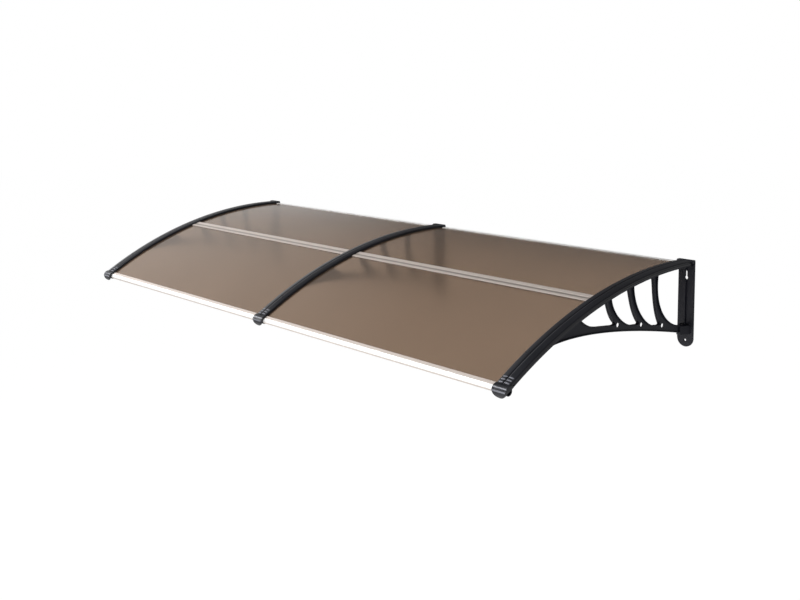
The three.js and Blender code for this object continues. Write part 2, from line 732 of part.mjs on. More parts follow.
function makeRearRail() {
  const back = -FIT - REAR_RAIL_WALL;
  const bottom = R_FLANGE_TOP - REAR_RAIL_WALL;
  const top = R_COVER_BOTTOM + REAR_RAIL_WALL;
  const outer = localBox(SHEET_REAR_ANGLE, bottom, top, back, REAR_RAIL_DEPTH);
  const slot = localBox(SHEET_REAR_ANGLE, R_FLANGE_TOP, R_COVER_BOTTOM, -FIT, REAR_RAIL_DEPTH + OVERLAP);
  return acrossBay(outer, PLATE_WIDTH / 2 + FIT).subtract(acrossBay(slot, 0));
}

function makeJointStrip() {
  const half = STRIP_WIDTH / 2 / SHEET_RADIUS;
  const from = JOINT_ANGLE - half;
  const to = JOINT_ANGLE + half;
  const top = R_COVER_BOTTOM + STRIP_WALL;
  const bottom = R_FLANGE_TOP - STRIP_WALL;
  const inset = COVER_WIDTH / 2 + FIT;
  const webHalf = STRIP_WEB / 2;
  const grooveHalf = STRIP_GROOVE_WIDTH / 2;
  const upright = localBox(JOINT_ANGLE, bottom + OVERLAP, top - OVERLAP, -webHalf, webHalf);
  const grooveAngle = JOINT_ANGLE + STRIP_GROOVE_AHEAD / SHEET_RADIUS;
  const groove = localBox(grooveAngle, top - STRIP_GROOVE_DEPTH, top + OVERLAP, -grooveHalf, grooveHalf);
  return acrossBay(arcBand(R_COVER_BOTTOM, top, from, to), inset)
    .add(acrossBay(arcBand(bottom, R_FLANGE_TOP, from, to), inset))
    .add(acrossBay(upright, inset))
    .subtract(acrossBay(groove, 0));
}

function makeSheet(from, to) {
  return acrossBay(arcBand(R_SHEET_BOTTOM, R_SHEET_TOP, from, to), TENON_HALF + FIT);
}

// Screws, driven from below

function makeScrew(seat, tip, angle) {
  const profile = [
    new THREE.Vector2(0, 0),
    new THREE.Vector2(SCREW_HEAD_RADIUS, 0),
    new THREE.Vector2(SCREW_HEAD_RADIUS, SCREW_HEAD_HEIGHT),
    new THREE.Vector2(SCREW_RADIUS, SCREW_HEAD_HEIGHT),
    new THREE.Vector2(SCREW_RADIUS, SCREW_HEAD_HEIGHT + tip - seat),
    new THREE.Vector2(0, SCREW_HEAD_HEIGHT + tip - seat),
  ];
  return radialPin(profile, seat - SCREW_HEAD_HEIGHT, angle);
}

// Assembly

const group = new THREE.Group();

function place(name, solid, look, x) {
  const mesh = new THREE.Mesh(geometryOf(solid), new THREE.MeshStandardMaterial(look));
  mesh.name = name;
  mesh.position.x = x;
  group.add(mesh);
}

const BRACKETS = [
  { name: 'left', x: -PITCH, outerSide: -1, openSides: [1] },
  { name: 'middle', x: 0, outerSide: 0, openSides: [-1, 1] },
  { name: 'right', x: PITCH, outerSide: 1, openSides: [-1] },
];
const BAYS = [
  { name: 'left', x: -PITCH },
  { name: 'right', x: 0 },
];

const bracket = makeBracket();
const cap = makeCap();
const coverScrewSeat = R_SPINE_BOTTOM - FIT;
const coverScrewTip = R_COVER_BOTTOM + SCREW_BITE;
const clampScrewSeat = R_TONGUE_BOTTOM - FIT;
const clampScrewTip = R_FLANGE_BOTTOM + CLAMP_SCREW_BITE;

for (const { name, x, outerSide, openSides } of BRACKETS) {
  place(`bracket_${name}`, bracket, BLACK, x);
  place(`cover_${name}`, makeCover(outerSide), BLACK_GLOSS, x);
  place(`rear_cap_${name}`, cap, BLACK, x);
  place(`front_clamp_${name}`, makeClamp(openSides), BLACK_GLOSS, x);
  place(`clamp_screw_${name}`, makeScrew(clampScrewSeat, clampScrewTip, CLAMP_SCREW_ANGLE), STEEL, x);
  COVER_SCREW_ANGLES.forEach((angle, index) => {
    place(`cover_screw_${name}_${index + 1}`, makeScrew(coverScrewSeat, coverScrewTip, angle), STEEL, x);
  });
}

const jointHalf = (STRIP_WEB / 2 + FIT) / SHEET_RADIUS;
for (const { name, x } of BAYS) {
  place(`sheet_rear_${name}`, makeSheet(SHEET_REAR_ANGLE, JOINT_ANGLE - jointHalf), BROWN, x);
  place(`sheet_front_${name}`, makeSheet(JOINT_ANGLE + jointHalf, SHEET_FRONT_ANGLE), BROWN, x);
  place(`joint_strip_${name}`, makeJointStrip(), ALUMINIUM, x);
  place(`front_rail_${name}`, makeFrontRail(), ALUMINIUM, x);
  place(`rear_rail_${name}`, makeRearRail(), ALUMINIUM, x);
}

export default group;
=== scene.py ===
"""Dresses the door canopy: brown polycarbonate sheets on black moulded brackets, with pale metal rails.

Metres, +X right along the wall, +Y into the wall, +Z up. The wall is the plane y = 0. Sheets, cover
strips and arms are concentric arcs about one axis parallel to X. An angle is measured from straight
up towards the front.
"""

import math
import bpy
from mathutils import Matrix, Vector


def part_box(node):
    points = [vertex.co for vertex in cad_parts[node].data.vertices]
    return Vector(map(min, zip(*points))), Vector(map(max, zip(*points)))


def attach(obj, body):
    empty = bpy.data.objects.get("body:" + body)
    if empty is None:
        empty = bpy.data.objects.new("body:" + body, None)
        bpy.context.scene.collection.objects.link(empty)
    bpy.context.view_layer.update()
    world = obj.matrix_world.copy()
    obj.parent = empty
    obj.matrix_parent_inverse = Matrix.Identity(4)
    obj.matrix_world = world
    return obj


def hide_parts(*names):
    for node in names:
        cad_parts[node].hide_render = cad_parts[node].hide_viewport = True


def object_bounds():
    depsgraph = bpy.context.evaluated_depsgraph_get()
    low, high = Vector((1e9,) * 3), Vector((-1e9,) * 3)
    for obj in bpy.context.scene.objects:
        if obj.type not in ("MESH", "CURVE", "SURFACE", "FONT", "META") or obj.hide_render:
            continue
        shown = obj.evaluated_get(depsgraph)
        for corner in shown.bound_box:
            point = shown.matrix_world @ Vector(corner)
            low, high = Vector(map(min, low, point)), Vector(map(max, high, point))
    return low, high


bl_info = {
    "name": "Door Canopy",
    "version": (1, 0, 0),
    "blender": (4, 5, 0),
    "location": "3D View > Sidebar > Canopy",
    "description": "Builds the pieces and the finishes of a polycarbonate door canopy",
    "category": "Object",
}

import bmesh
import bpy
from bpy.props import FloatProperty, FloatVectorProperty, IntProperty, PointerProperty
from mathutils import Vector
from mathutils.geometry import tessellate_polygon

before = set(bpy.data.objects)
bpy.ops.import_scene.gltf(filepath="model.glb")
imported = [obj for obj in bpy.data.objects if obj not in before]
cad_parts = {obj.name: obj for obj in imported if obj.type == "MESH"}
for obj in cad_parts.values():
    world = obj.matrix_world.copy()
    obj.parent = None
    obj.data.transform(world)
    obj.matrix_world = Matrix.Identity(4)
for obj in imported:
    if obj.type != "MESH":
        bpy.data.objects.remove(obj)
CAD_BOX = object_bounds()

BODY = "root"
SIDES = ("left", "middle", "right")
BAYS = ("left", "right")
IMAGE_WIDTH = 800
IMAGE_HEIGHT = 600
SENSOR_WIDTH = 36.0  # millimetres
BRACKET_PLACES = {"left": -1.0, "middle": 0.0, "right": 1.0}
COVER_SCREWS = 5  # screws of each cover strip

# Struts of the openwork web, front strut first, in metres
STRUT_TOPS = (0.364, 0.267, 0.156)  # wall to the middle of the strut's top
STRUT_LEANS = (0.042, 0.050, 0.037)  # how far its root lies nearer the wall
STRUT_BOWS = (-0.004, -0.004, 0.004)  # front edge's control point ahead of its top
STRUT_BEND = 0.6  # share of the way down to that control point
BOWL_BOWS = (-0.004, -0.002, 0.015)  # back edge's control point ahead of its top
BOWL_TURNS = (0.5, 0.54, 0.63)  # share of the way down to that control point
BOWL_FLOORS = (0.048, 0.047, 0.086)  # rear end of a bowl forward to its floor's control point

# Fine detail that a user would not change, in metres
OVERLAP = 0.001  # how far the shapes of one moulding reach into each other
WEB_EDGE = 0.0004  # edge rounding of the web and the upstand
RIB_EDGE = 0.0003  # edge rounding of the rib on the wall plate
PLATE_EDGE = 0.0009  # edge rounding of the wall plate
GUSSET_EDGE = 0.0012  # edge rounding of the gusset
CAP_EDGE = 0.0011  # edge rounding of the rear caps
SCREW_EDGE = 0.0004  # edge rounding of the screws
SHEET_EDGE = 0.0005  # bevel along the sheets' sides
SPINE_FRONT = 0.0486  # rail axis back to the front end of the rib under the flange
STRIP_BEND = 0.020  # rail axis back to where a cover strip starts to fit the barrel
SKIRT_THICKNESS = 0.002  # wall on the free side of the outer cover strips
SKIRT_DEPTH = 0.004  # cover strip's underside down to that wall's foot
GROOVE_LIP = 0.0003  # width of the rounding at the centre groove's edge
GRIP_CLEAR = 0.001  # centre groove's edge to a grip rib's inner end
GRIP_SINK = 0.0004  # cover strip's surface down to where a grip rib's flanks start
GRIP_ROOT = 0.0015  # cover strip's surface down to a grip rib's buried foot
RELIEF_LOW = 0.0003  # least height of a ridge, and least depth of a groove, that takes a painted highlight or painted shade
RELIEF_HIGH = 0.0012  # greatest height or depth of one
NOSE_MARGIN = 0.0004  # how far a face of the nose may lie outside its radius
MERGE_DISTANCE = 2e-5  # points nearer than this are one

# Shares and angles of fine detail
ROUND_FLATNESS = 0.6  # height of a cover strip's rounding as a share of its width
GRIP_END = 0.35  # size of a grip rib's end as a share of its middle
GRIP_SWELL = 2.8  # how fast that share grows along the rib
LEAST_MITRE = 0.5  # keeps the points of a sharp corner near it when an outline is moved
LEAST_NORMAL = 1e-6  # under this length, an outline turns straight back on itself
SHARP_DEGREES = 38.0  # edges that turn by more than this stay sharp
CAD_SHARP_DEGREES = 30.0  # the same for pieces copied from the CAD node
COVER_SHARP_DEGREES = 50.0  # the same for cover strips and screws
FLAT_DEGREES = 0.5  # facets that turn by less than this are joined
NOSE_UNDERSIDE = -0.35  # normal's z under which the nose keeps the jaw's darker colour, painted shade on its underside
GROOVE_UPWARD = 0.7  # normal's z over which a face is the groove's floor
RIDGE_SIDEWAYS = 0.5  # normal's x over which a face is a clamp's side

# Steps along curved lines
ARM_STEPS = 72
COVER_STEPS = 64
WEB_TOP_STEPS = 60
SHEET_STEPS = 48
CHORD_STEPS = 48
CHORD_TABLE_STEPS = 200
PLATE_FOOT_STEPS = 32
BOWL_STEPS = 28
CIRCLE_SIDES = 28
STRUT_STEPS = 24
KEYHOLE_STEPS = 24
OPENING_TOP_STEPS = 16
REAR_TOP_STEPS = 12
TIP_STEPS = 12
GRIP_STEPS = 10
STRUT_FOOT_STEPS = 8
SLOT_END_STEPS = 8
COVER_ROUND_STEPS = 6
COVER_CROWN_STEPS = 5
GRIP_FLANK_STEPS = 5
SLAB_EDGE_STEPS = 3
BAR_CORNER_STEPS = 3

# Light
NOISE_RANGE = (0.3, 0.7)  # middle range of a noise texture
LEFT_START = -0.72  # x of a direction at which reflections start to brighten towards the left
LEFT_END = -0.9  # x of a direction at which they are brightest
LEFT_LIGHT = 1.0  # strength of the surroundings there
FLOOR_HALF = 30.0  # half the floor's width
FLOOR_WHITE = 0.9  # share of the floor that is white to the eye, the rest takes the shadow
FLOOR_GLOW = 1.05  # strength of that white


# Sizes and colours that a user would change


def length(name, description, default):
    return FloatProperty(name=name, description=description, default=default, unit="LENGTH", precision=4)


def angle(name, description, degrees):
    return FloatProperty(
        name=name, description=description, default=math.radians(degrees), subtype="ANGLE", unit="ROTATION"
    )


def power(name, description, default):
    return FloatProperty(name=name, description=description, default=default, unit="POWER")


def share(name, description, default):
    return FloatProperty(
        name=name, description=description, default=default, min=0.0, max=1.0, subtype="FACTOR"
    )


def colour(name, description, default):
    return FloatVectorProperty(
        name=name, description=description, default=default, size=3, min=0.0, max=1.0, subtype="COLOR"
    )


class CanopySizes(bpy.types.PropertyGroup):
    """Sizes of the arc that the canopy follows, and of the covers, rails and edges"""

    sheet_radius: length("Sheet radius", "Radius of the sheets' upper face", 1.3928)
    sheet_thickness: length("Sheet thickness", "Thickness of the sheets", 0.004)
    crest_out: length("Crest distance", "Wall to the highest line of the sheets", 0.028)
    crest_height: length("Crest height", "Origin up to the sheets' upper face at the crest", 0.1158)
    rail_out: length("Rail distance", "Wall to the axis of the front rail", 0.761)
    rail_radius: length("Rail arc", "Radius at which the front rail's axis lies", 1.3852)
    fit: length("Fit", "Gap between pieces that touch", 0.0003)
    cover_height: length("Cover height", "Underside of a cover strip up to its upper edges", 0.007)
    cover_crown: length("Cover crown", "Middle of a cover strip above its edges", 0.0016)
    cover_round: length("Cover rounding", "Width of the rounding along a cover strip's edges", 0.004)
    cover_front: length("Cover front", "Rail axis back to the cover strip's upper front edge", 0.005)
    groove_width: length("Groove width", "Width of a cover strip's centre groove", 0.0024)
    groove_depth: length("Groove depth", "Depth of a cover strip's centre groove", 0.0013)
    barrel_radius: length("Barrel radius", "Radius of the front clamps' barrels", 0.0185)
    barrel_arc: length("Barrel arc", "Radius at which the barrels' axis lies", 1.3831)
    barrel_ahead: length("Barrel ahead", "Barrel axis ahead of the rail axis", 0.002)
    grip_first: length("First grip rib", "Rail axis back to the first grip rib", 0.0105)
    grip_spacing: length("Grip spacing", "Grip rib to grip rib", 0.0093)
    grip_width: length("Grip width", "Width of a grip rib", 0.0046)
    grip_height: length("Grip height", "Height of a grip rib over the cover strip", 0.0019)
    grip_inset: length("Grip inset", "Cover strip's edge in to the end of a grip rib", 0.004)
    grip_count: IntProperty(
        name="Grip ribs", description="Grip ribs on each half of a cover strip", default=3, min=0
    )
    nose_radius: length("Nose radius", "Radius of the front rails' round nose", 0.0095)
    moulding_edge: length("Moulding edge", "Edge rounding of the moulded plastic pieces", 0.0007)
    metal_edge: length("Metal edge", "Edge rounding of the rails and strips", 0.0003)


class BracketSizes(bpy.types.PropertyGroup):
    """Sizes of the moulded brackets"""

    plate_width: length("Plate width", "Width of the wall plate", 0.0516)
    plate_thickness: length("Plate thickness", "Thickness of the wall plate", 0.005)
    plate_above: length("Plate above", "Origin up to the wall plate's top edge", 0.122)
    plate_below: length("Plate below", "Origin down to the foot of the wall plate's round end", 0.125)
    keyhole_height: length("Keyhole height", "Origin up to the keyhole", 0.073)
    keyhole_width: length("Keyhole width", "Diameter of the keyhole", 0.010)
    keyhole_slot: length("Keyhole slot", "Width of the slot above the keyhole", 0.0055)
    keyhole_length: length("Slot length", "Keyhole up to the end of its slot", 0.020)
    lower_hole_drop: length("Lower hole drop", "Origin down to the lower screw hole", 0.106)
    lower_hole_width: length("Lower hole width", "Diameter of the lower screw hole", 0.007)
    flange_width: length("Flange width", "Width of the arm's flange under the sheets", 0.038)
    flange_thickness: length("Flange thickness", "Thickness of the arm's flange", 0.004)
    spine_depth: length("Spine depth", "Depth of the rib under the flange", 0.003)
    tenon_width: length("Tenon width", "Width of the upstand between the sheets", 0.006)
    web_thickness: length("Web thickness", "Thickness of the openwork web", 0.0032)
    rim_width: length("Rim width", "Width of the rims round the openings", 0.012)
    rim_thickness: length("Rim thickness", "Thickness of the rims round the openings", 0.0026)
    chord_foot: length("Chord foot", "Origin down to the chord's underside at the plate", 0.087)
    chord_reach: length("Chord reach", "Wall to where the chord runs into the arm", 0.628)
    chord_bend: length("Chord bend", "Wall to the control point of the chord's curve", 0.450)
    chord_rise: length("Chord rise", "Chord's front end up to its control point", 0.039)
    chord_depth: length("Chord depth", "Depth of the chord", 0.017)
    strut_width: length("Strut width", "Width of a strut at its top", 0.0165)
    shoulder: length("Strut shoulder", "Rounding between a strut's front edge and the arm", 0.007)
    foot_ahead: length("Foot ahead", "Strut's root hole forward to the foot of its front edge", 0.016)
    corner_length: length("Corner length", "Foot of a strut forward to the chord's upper edge", 0.016)
    corner_height: length("Corner height", "Foot of a strut's front edge above the chord", 0.005)
    bowl_rise: length("Bowl rise", "Chord's extra depth at the plate", 0.008)
    root_hole: length("Root hole", "Diameter of the hole at a strut's root", 0.012)
    tip_out: length("Tip distance", "Wall to the tip of the front opening", 0.485)
    tip_neck: length("Tip neck", "Tip back to where the opening is level with the chord", 0.085)
    tip_bend: length("Tip bend", "Tip back to the control point between them", 0.030)
    rib_depth: length("Rib depth", "Depth of the rib on the wall plate", 0.006)
    gusset_width: length("Gusset width", "Width of the gusset where the chord meets the plate", 0.036)
    gusset_length: length("Gusset length", "Length of that gusset", 0.034)
    gusset_height: length("Gusset height", "Height of that gusset", 0.025)


class CanopyColours(bpy.types.PropertyGroup):
    """Colours of the canopy's materials"""

    black: colour("Black plastic", "Brackets and rear caps", (0.012, 0.0125, 0.0185))
    black_gloss: colour("Black gloss plastic", "Cover strips and front clamps", (0.011, 0.0115, 0.015))
    # Paler colour of the grip ribs and clamp ridges is a painted highlight
    polished: colour("Polished ridges", "Grip ribs and clamp ridges", (0.135, 0.138, 0.16))
    brown: colour("Brown polycarbonate", "Sheets", (0.266, 0.184, 0.129))
    aluminium: colour("Aluminium", "Joint strips and the front rails' jaws", (0.60, 0.53, 0.485))
    # Paler colour of the front rails' noses and the rear rails is a painted highlight
    painted_highlight_aluminium: colour("Painted highlight aluminium", "Front rails' noses and rear rails", (0.93, 0.92, 0.905))
    # Darker colour of the joint strips' groove is painted shade
    groove: colour("Joint groove shade", "Groove along the joint strips", (0.30, 0.26, 0.235))
    steel: colour("Screw steel", "Screws", (0.58, 0.59, 0.60))
    floor: colour("Floor", "Floor under the canopy", (0.9, 0.9, 0.9))


class CanopyStage(bpy.types.PropertyGroup):
    """Camera, lamps and floor"""

    camera_place: FloatVectorProperty(
        name="Camera place",
        description="Where the camera stands",
        default=(2.622, -2.540, 0.613),
        unit="LENGTH",
    )
    camera_heading: angle("Camera heading", "Turn from straight at the wall towards the left", 48.165)
    camera_pitch: angle("Camera pitch", "How far the camera looks down", 5.0)
    lens: FloatProperty(name="Lens", description="Focal length in millimetres", default=46.86)
    lens_centre: FloatProperty(
        name="Lens centre", description="Pixel row of the lens axis in the photograph's frame", default=176.28
    )
    floor_drop: length("Floor drop", "Wall plates' feet down to the floor", 2.1)
    key_power: power("Key power", "Large lamp from the front left", 62.0)
    side_power: power("Side power", "Soft lamp on the left", 58.0)
    fill_power: power("Fill power", "Soft lamp low in front", 46.0)
    world_light: share("World light", "Strength of the surroundings on matt surfaces", 0.6)
    reflection_light: share("Reflection light", "Their strength in reflections, but for the left", 0.1)


# Geometry of the side view: points are (y, z) pairs


def on_arc(radius, turn, ahead=0.0):
    """Point of the side view at a radius and an angle, moved ahead along the arc's tangent."""
    sizes = bpy.context.scene.canopy_sizes
    centre_z = sizes.crest_height - sizes.sheet_radius
    y = -sizes.crest_out - radius * math.sin(turn) - ahead * math.cos(turn)
    z = centre_z + radius * math.cos(turn) - ahead * math.sin(turn)
    return y, z


def angle_at(out, radius):
    """Angle at which an arc lies a distance out from the wall."""
    return math.asin((out - bpy.context.scene.canopy_sizes.crest_out) / radius)


def rail_angle():
    sizes = bpy.context.scene.canopy_sizes
    return angle_at(sizes.rail_out, sizes.rail_radius)


def flange_top():
    sizes = bpy.context.scene.canopy_sizes
    return sizes.sheet_radius - sizes.sheet_thickness - sizes.fit


def bezier(controls, steps):
    """Points along a Bezier curve through any number of control points."""
    degree = len(controls) - 1
    points = []
    for i in range(steps + 1):
        t = i / steps
        weights = [math.comb(degree, k) * t**k * (1 - t) ** (degree - k) for k in range(degree + 1)]
        points.append(tuple(sum(w * c[axis] for w, c in zip(weights, controls)) for axis in (0, 1)))
    return points


def arc_line(radius, start, end, steps):
    return [on_arc(radius, start + (end - start) * i / steps) for i in range(steps + 1)]


def circle(centre, radius):
    turns = [2 * math.pi * i / CIRCLE_SIDES for i in range(CIRCLE_SIDES)]
    return [(centre[0] + radius * math.cos(t), centre[1] + radius * math.sin(t)) for t in turns]


def signed_area(loop):
    return sum(a[0] * b[1] - b[0] * a[1] for a, b in zip(loop, loop[1:] + loop[:1])) / 2


def inset(loop, distance):
    """Moves each point of a closed loop to the left of its direction."""
    moved = []
    for i, point in enumerate(loop):
        before = Vector(loop[i - 1])
        after = Vector(loop[(i + 1) % len(loop)])
        here = Vector(point)
        first = (here - before).normalized()
        second = (after - here).normalized()
        normal = Vector((-first.y - second.y, first.x + second.x))
        if normal.length < LEAST_NORMAL:
            moved.append(point)
            continue
        normal.normalize()
        reach = max(LEAST_MITRE, normal.dot(Vector((-first.y, first.x))))
        moved.append(tuple(here + normal * (distance / reach)))
    return moved


def strip_beside(points, thickness):
    """A closed strip of even thickness on the right-hand side of a line of points."""
    moved = []
    for i, point in enumerate(points):
        before = Vector(points[max(0, i - 1)])
        after = Vector(points[min(len(points) - 1, i + 1)])
        along = (after - before).normalized()
        moved.append((point[0] + thickness * along.y, point[1] - thickness * along.x))
    return points + moved[::-1]


# Mesh helpers


def new_piece(name, mesh, node, material):
    """An object that stands for a CAD node, rides with the part and takes a finish from its slot."""
    piece = bpy.data.objects.new(name, mesh)
    bpy.context.scene.collection.objects.link(piece)
    mesh.materials.append(material)
    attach(piece, BODY)
    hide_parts(node)
    return piece


def finish_mesh(bm, name, sharp_degrees=SHARP_DEGREES):
    """Turns the working mesh into a smooth-shaded mesh that keeps its sharp edges."""
    bmesh.ops.recalc_face_normals(bm, faces=bm.faces)
    for face in bm.faces:
        face.smooth = True
    mesh = bpy.data.meshes.new(name)
    bm.to_mesh(mesh)
    bm.free()
    mesh.set_sharp_from_angle(angle=math.radians(sharp_degrees))
    return mesh


def flat_faces_stay_flat(piece):
    """Weights the shading towards large faces, so that only the rounded edges catch light."""
    weighted = piece.modifiers.new("Weighted normals", "WEIGHTED_NORMAL")
    weighted.keep_sharp = True


def rounded_copy(node, name, edge_width, sharp_degrees, segments=2):
    """A copy of a CAD node with joined facets and rounded edges."""
    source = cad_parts[node].data
    bm = bmesh.new()
    bm.from_mesh(source)
    for layer in list(bm.loops.layers.float_vector.values()):
        bm.loops.layers.float_vector.remove(layer)
    bmesh.ops.remove_doubles(bm, verts=bm.verts, dist=MERGE_DISTANCE)
    bmesh.ops.dissolve_limit(bm, angle_limit=math.radians(FLAT_DEGREES), verts=bm.verts, edges=bm.edges)
    crisp = [
        edge
        for edge in bm.edges
        if len(edge.link_faces) == 2 and edge.calc_face_angle() > math.radians(sharp_degrees)
    ]
    bmesh.ops.bevel(
        bm,
        geom=crisp,
        offset=edge_width,
        offset_type="OFFSET",
        segments=segments,
        profile=0.5,
        affect="EDGES",
        clamp_overlap=False,
        miter_outer="ARC",
    )
    return finish_mesh(bm, name, sharp_degrees)


def add_loft(bm, rings):
    """Skins a row of like rings of points, and closes both ends."""
    rows = [[bm.verts.new(point) for point in ring] for ring in rings]
    count = len(rows[0])
    for before, after in zip(rows, rows[1:]):
        for i in range(count):
            j = (i + 1) % count
            bm.faces.new((before[i], before[j], after[j], after[i]))
    for ring in (rows[0][::-1], rows[-1]):
        add_cap(bm, [ring])


def add_cap(bm, rings):
    """Closes a ring of vertices, less the rings that lie inside it."""
    flat = [vertex for ring in rings for vertex in ring]
    for triangle in tessellate_polygon([[vertex.co for vertex in ring] for ring in rings]):
        corners = [flat[i] for i in triangle]
        if len(set(corners)) == 3:
            bm.faces.new(corners)


def add_slab(bm, outline, low, high, rounding, to_space, holes=()):
    """A flat piece with rounded edges: an outline less its holes, from one depth to another."""
    loops = [outline if signed_area(outline) > 0 else outline[::-1]]
    loops += [hole if signed_area(hole) < 0 else hole[::-1] for hole in holes]
    profile = []
    for i in range(SLAB_EDGE_STEPS + 1):
        swing = math.pi / 2 * i / SLAB_EDGE_STEPS
        profile.append((rounding * (1 - math.sin(swing)), low + rounding * (1 - math.cos(swing))))
    profile += [(reach, low + high - depth) for reach, depth in reversed(profile)]
    caps = ([], [])
    for loop in loops:
        rows = []
        for reach, depth in profile:
            moved = inset(loop, reach) if reach > 0 else loop
            rows.append([bm.verts.new(to_space(point, depth)) for point in moved])
        for before, after in zip(rows, rows[1:]):
            for i in range(len(loop)):
                j = (i + 1) % len(loop)
                bm.faces.new((before[i], before[j], after[j], after[i]))
        caps[0].append(rows[0])
        caps[1].append(rows[-1])
    for rings in caps:
        add_cap(bm, rings)


def arc_rings(section, x, radius, start, end, steps):
    """Rings of a section of (across, height) points, swept along the arc."""
    rings = []
    for i in range(steps + 1):
        turn = start + (end - start) * i / steps
        ring = []
        for across, height in section:
            y, z = on_arc(radius + height, turn)
            ring.append(Vector((x + across, y, z)))
        rings.append(ring)
    return rings


# Materials


class Finish:
    """A material's node tree with short ways to add nodes."""

    def __init__(self, name, slot):
        self.material = bpy.data.materials.new(name)
        self.material.use_nodes = True
        self.material["slot"] = slot
        self.nodes = self.material.node_tree.nodes
        self.links = self.material.node_tree.links
        self.shader = self.nodes["Principled BSDF"]

    def add(self, kind, **settings):
        node = self.nodes.new(kind)
        for key, value in settings.items():
            setattr(node, key, value)
        return node

    def link(self, output, target):
        self.links.new(output, target)

    def place(self, scale):
        """Object coordinates, stretched by a scale along each axis."""
        coordinates = self.add("ShaderNodeTexCoord")
        mapping = self.add("ShaderNodeMapping")
        mapping.inputs["Scale"].default_value = scale
        self.link(coordinates.outputs["Object"], mapping.inputs["Vector"])
        return mapping.outputs["Vector"]

    def noise(self, scale, detail, stretch=(1, 1, 1)):
        noise = self.add("ShaderNodeTexNoise")
        noise.inputs["Scale"].default_value = scale
        noise.inputs["Detail"].default_value = detail
        self.link(self.place(stretch), noise.inputs["Vector"])
        return noise.outputs["Fac"]

    def spread(self, noise, low, high):
        """Maps the middle range of a noise onto low to high."""
        ranged = self.add("ShaderNodeMapRange")
        ranged.inputs["From Min"].default_value, ranged.inputs["From Max"].default_value = NOISE_RANGE
        ranged.inputs["To Min"].default_value = low
        ranged.inputs["To Max"].default_value = high
        self.link(noise, ranged.inputs["Value"])
        return ranged.outputs["Result"]

    def tint(self, noise, base, darkest, palest):
        """Base colour that a noise makes darker and paler, by factors of the base."""
        mix = self.add("ShaderNodeMix", data_type="RGBA")
        first, second = (socket for socket in mix.inputs if socket.type == "RGBA")
        first.default_value = (*scaled(base, darkest), 1)
        second.default_value = (*scaled(base, palest), 1)
        self.link(self.spread(noise, 0, 1), mix.inputs[0])
        colours = next(socket for socket in mix.outputs if socket.type == "RGBA")
        self.link(colours, self.shader.inputs["Base Color"])

    def dull(self, noise, low, high):
        """Roughness that follows a noise from low to high."""
        self.link(self.spread(noise, low, high), self.shader.inputs["Roughness"])

    def bump(self, height, strength, distance):
        bump = self.add("ShaderNodeBump")
        bump.inputs["Strength"].default_value = strength
        bump.inputs["Distance"].default_value = distance
        self.link(height, bump.inputs["Height"])
        self.link(bump.outputs["Normal"], self.shader.inputs["Normal"])

    def set(self, socket, value):
        self.shader.inputs[socket].default_value = value


def scaled(base, factor):
    return tuple(min(1.0, channel * factor) for channel in base)


def black_plastic():
    """Fine-grained satin moulding with soft, cloudy changes of tone."""
    finish = Finish("Black plastic", "black_plastic")
    base = tuple(bpy.context.scene.canopy_colours.black)
    grain = finish.noise(scale=900.0, detail=3.0)
    cloud = finish.noise(scale=9.0, detail=4.0)
    finish.tint(cloud, base, 0.85, 1.25)
    finish.dull(cloud, 0.40, 0.50)
    finish.set("Specular IOR Level", 0.22)
    finish.bump(grain, strength=0.22, distance=0.0002)
    return finish.material


def gloss_finish(name, base):
    """Smooth moulding with a soft shine and the faint flow marks of its mould."""
    finish = Finish(name, "black_gloss_plastic")
    flow = finish.noise(scale=14.0, detail=3.0, stretch=(1.0, 0.35, 1.0))
    grain = finish.noise(scale=1400.0, detail=2.0)
    finish.tint(flow, base, 0.85, 1.2)
    finish.dull(flow, 0.26, 0.34)
    finish.set("Specular IOR Level", 0.4)
    finish.bump(grain, strength=0.12, distance=0.0001)
    return finish.material


def black_gloss_plastic():
    """Finish of the cover strips and the front clamps."""
    return gloss_finish("Black gloss plastic", tuple(bpy.context.scene.canopy_colours.black_gloss))


def polished_plastic():
    """Paler colour painted on the grip ribs and the clamp ridges as a highlight, where they catch the light.
    """
    return gloss_finish("Polished plastic", tuple(bpy.context.scene.canopy_colours.polished))


def brown_polycarbonate():
    """Brown tinted sheet, frosted so that what lies behind it shows as a soft shape."""
    finish = Finish("Brown polycarbonate", "brown_polycarbonate")
    base = tuple(bpy.context.scene.canopy_colours.brown)
    cloud = finish.noise(scale=3.0, detail=2.0)
    frost = finish.noise(scale=420.0, detail=2.0)
    finish.tint(cloud, base, 0.97, 1.03)
    finish.dull(frost, 0.13, 0.16)
    finish.set("Transmission Weight", 0.8)
    finish.set("IOR", 1.5)
    finish.set("Specular Tint", (1.0, 0.88, 0.77, 1.0))
    finish.bump(frost, strength=0.03, distance=0.0001)
    return finish.material


def aluminium_finish(name, base):
    """Satin anodised extrusion, with fine lines along its length."""
    finish = Finish(name, "pale_aluminium")
    lines = finish.noise(scale=1.0, detail=3.0, stretch=(3.0, 500.0, 500.0))
    finish.tint(lines, base, 0.96, 1.03)
    finish.dull(lines, 0.34, 0.42)
    finish.set("Metallic", 0.35)
    finish.bump(lines, strength=0.06, distance=0.0001)
    return finish.material


def pale_aluminium():
    """Anodised finish of the joint strips and the front rails' jaws."""
    return aluminium_finish("Pale aluminium", tuple(bpy.context.scene.canopy_colours.aluminium))


def painted_highlight_aluminium():
    """Paler colour painted on the front rails' noses and the rear rails as a highlight."""
    return aluminium_finish("Painted highlight aluminium", tuple(bpy.context.scene.canopy_colours.painted_highlight_aluminium))


def groove_aluminium():
    """Darker colour painted in the groove of the joint strips as shade."""
    return aluminium_finish("Groove aluminium", tuple(bpy.context.scene.canopy_colours.groove))


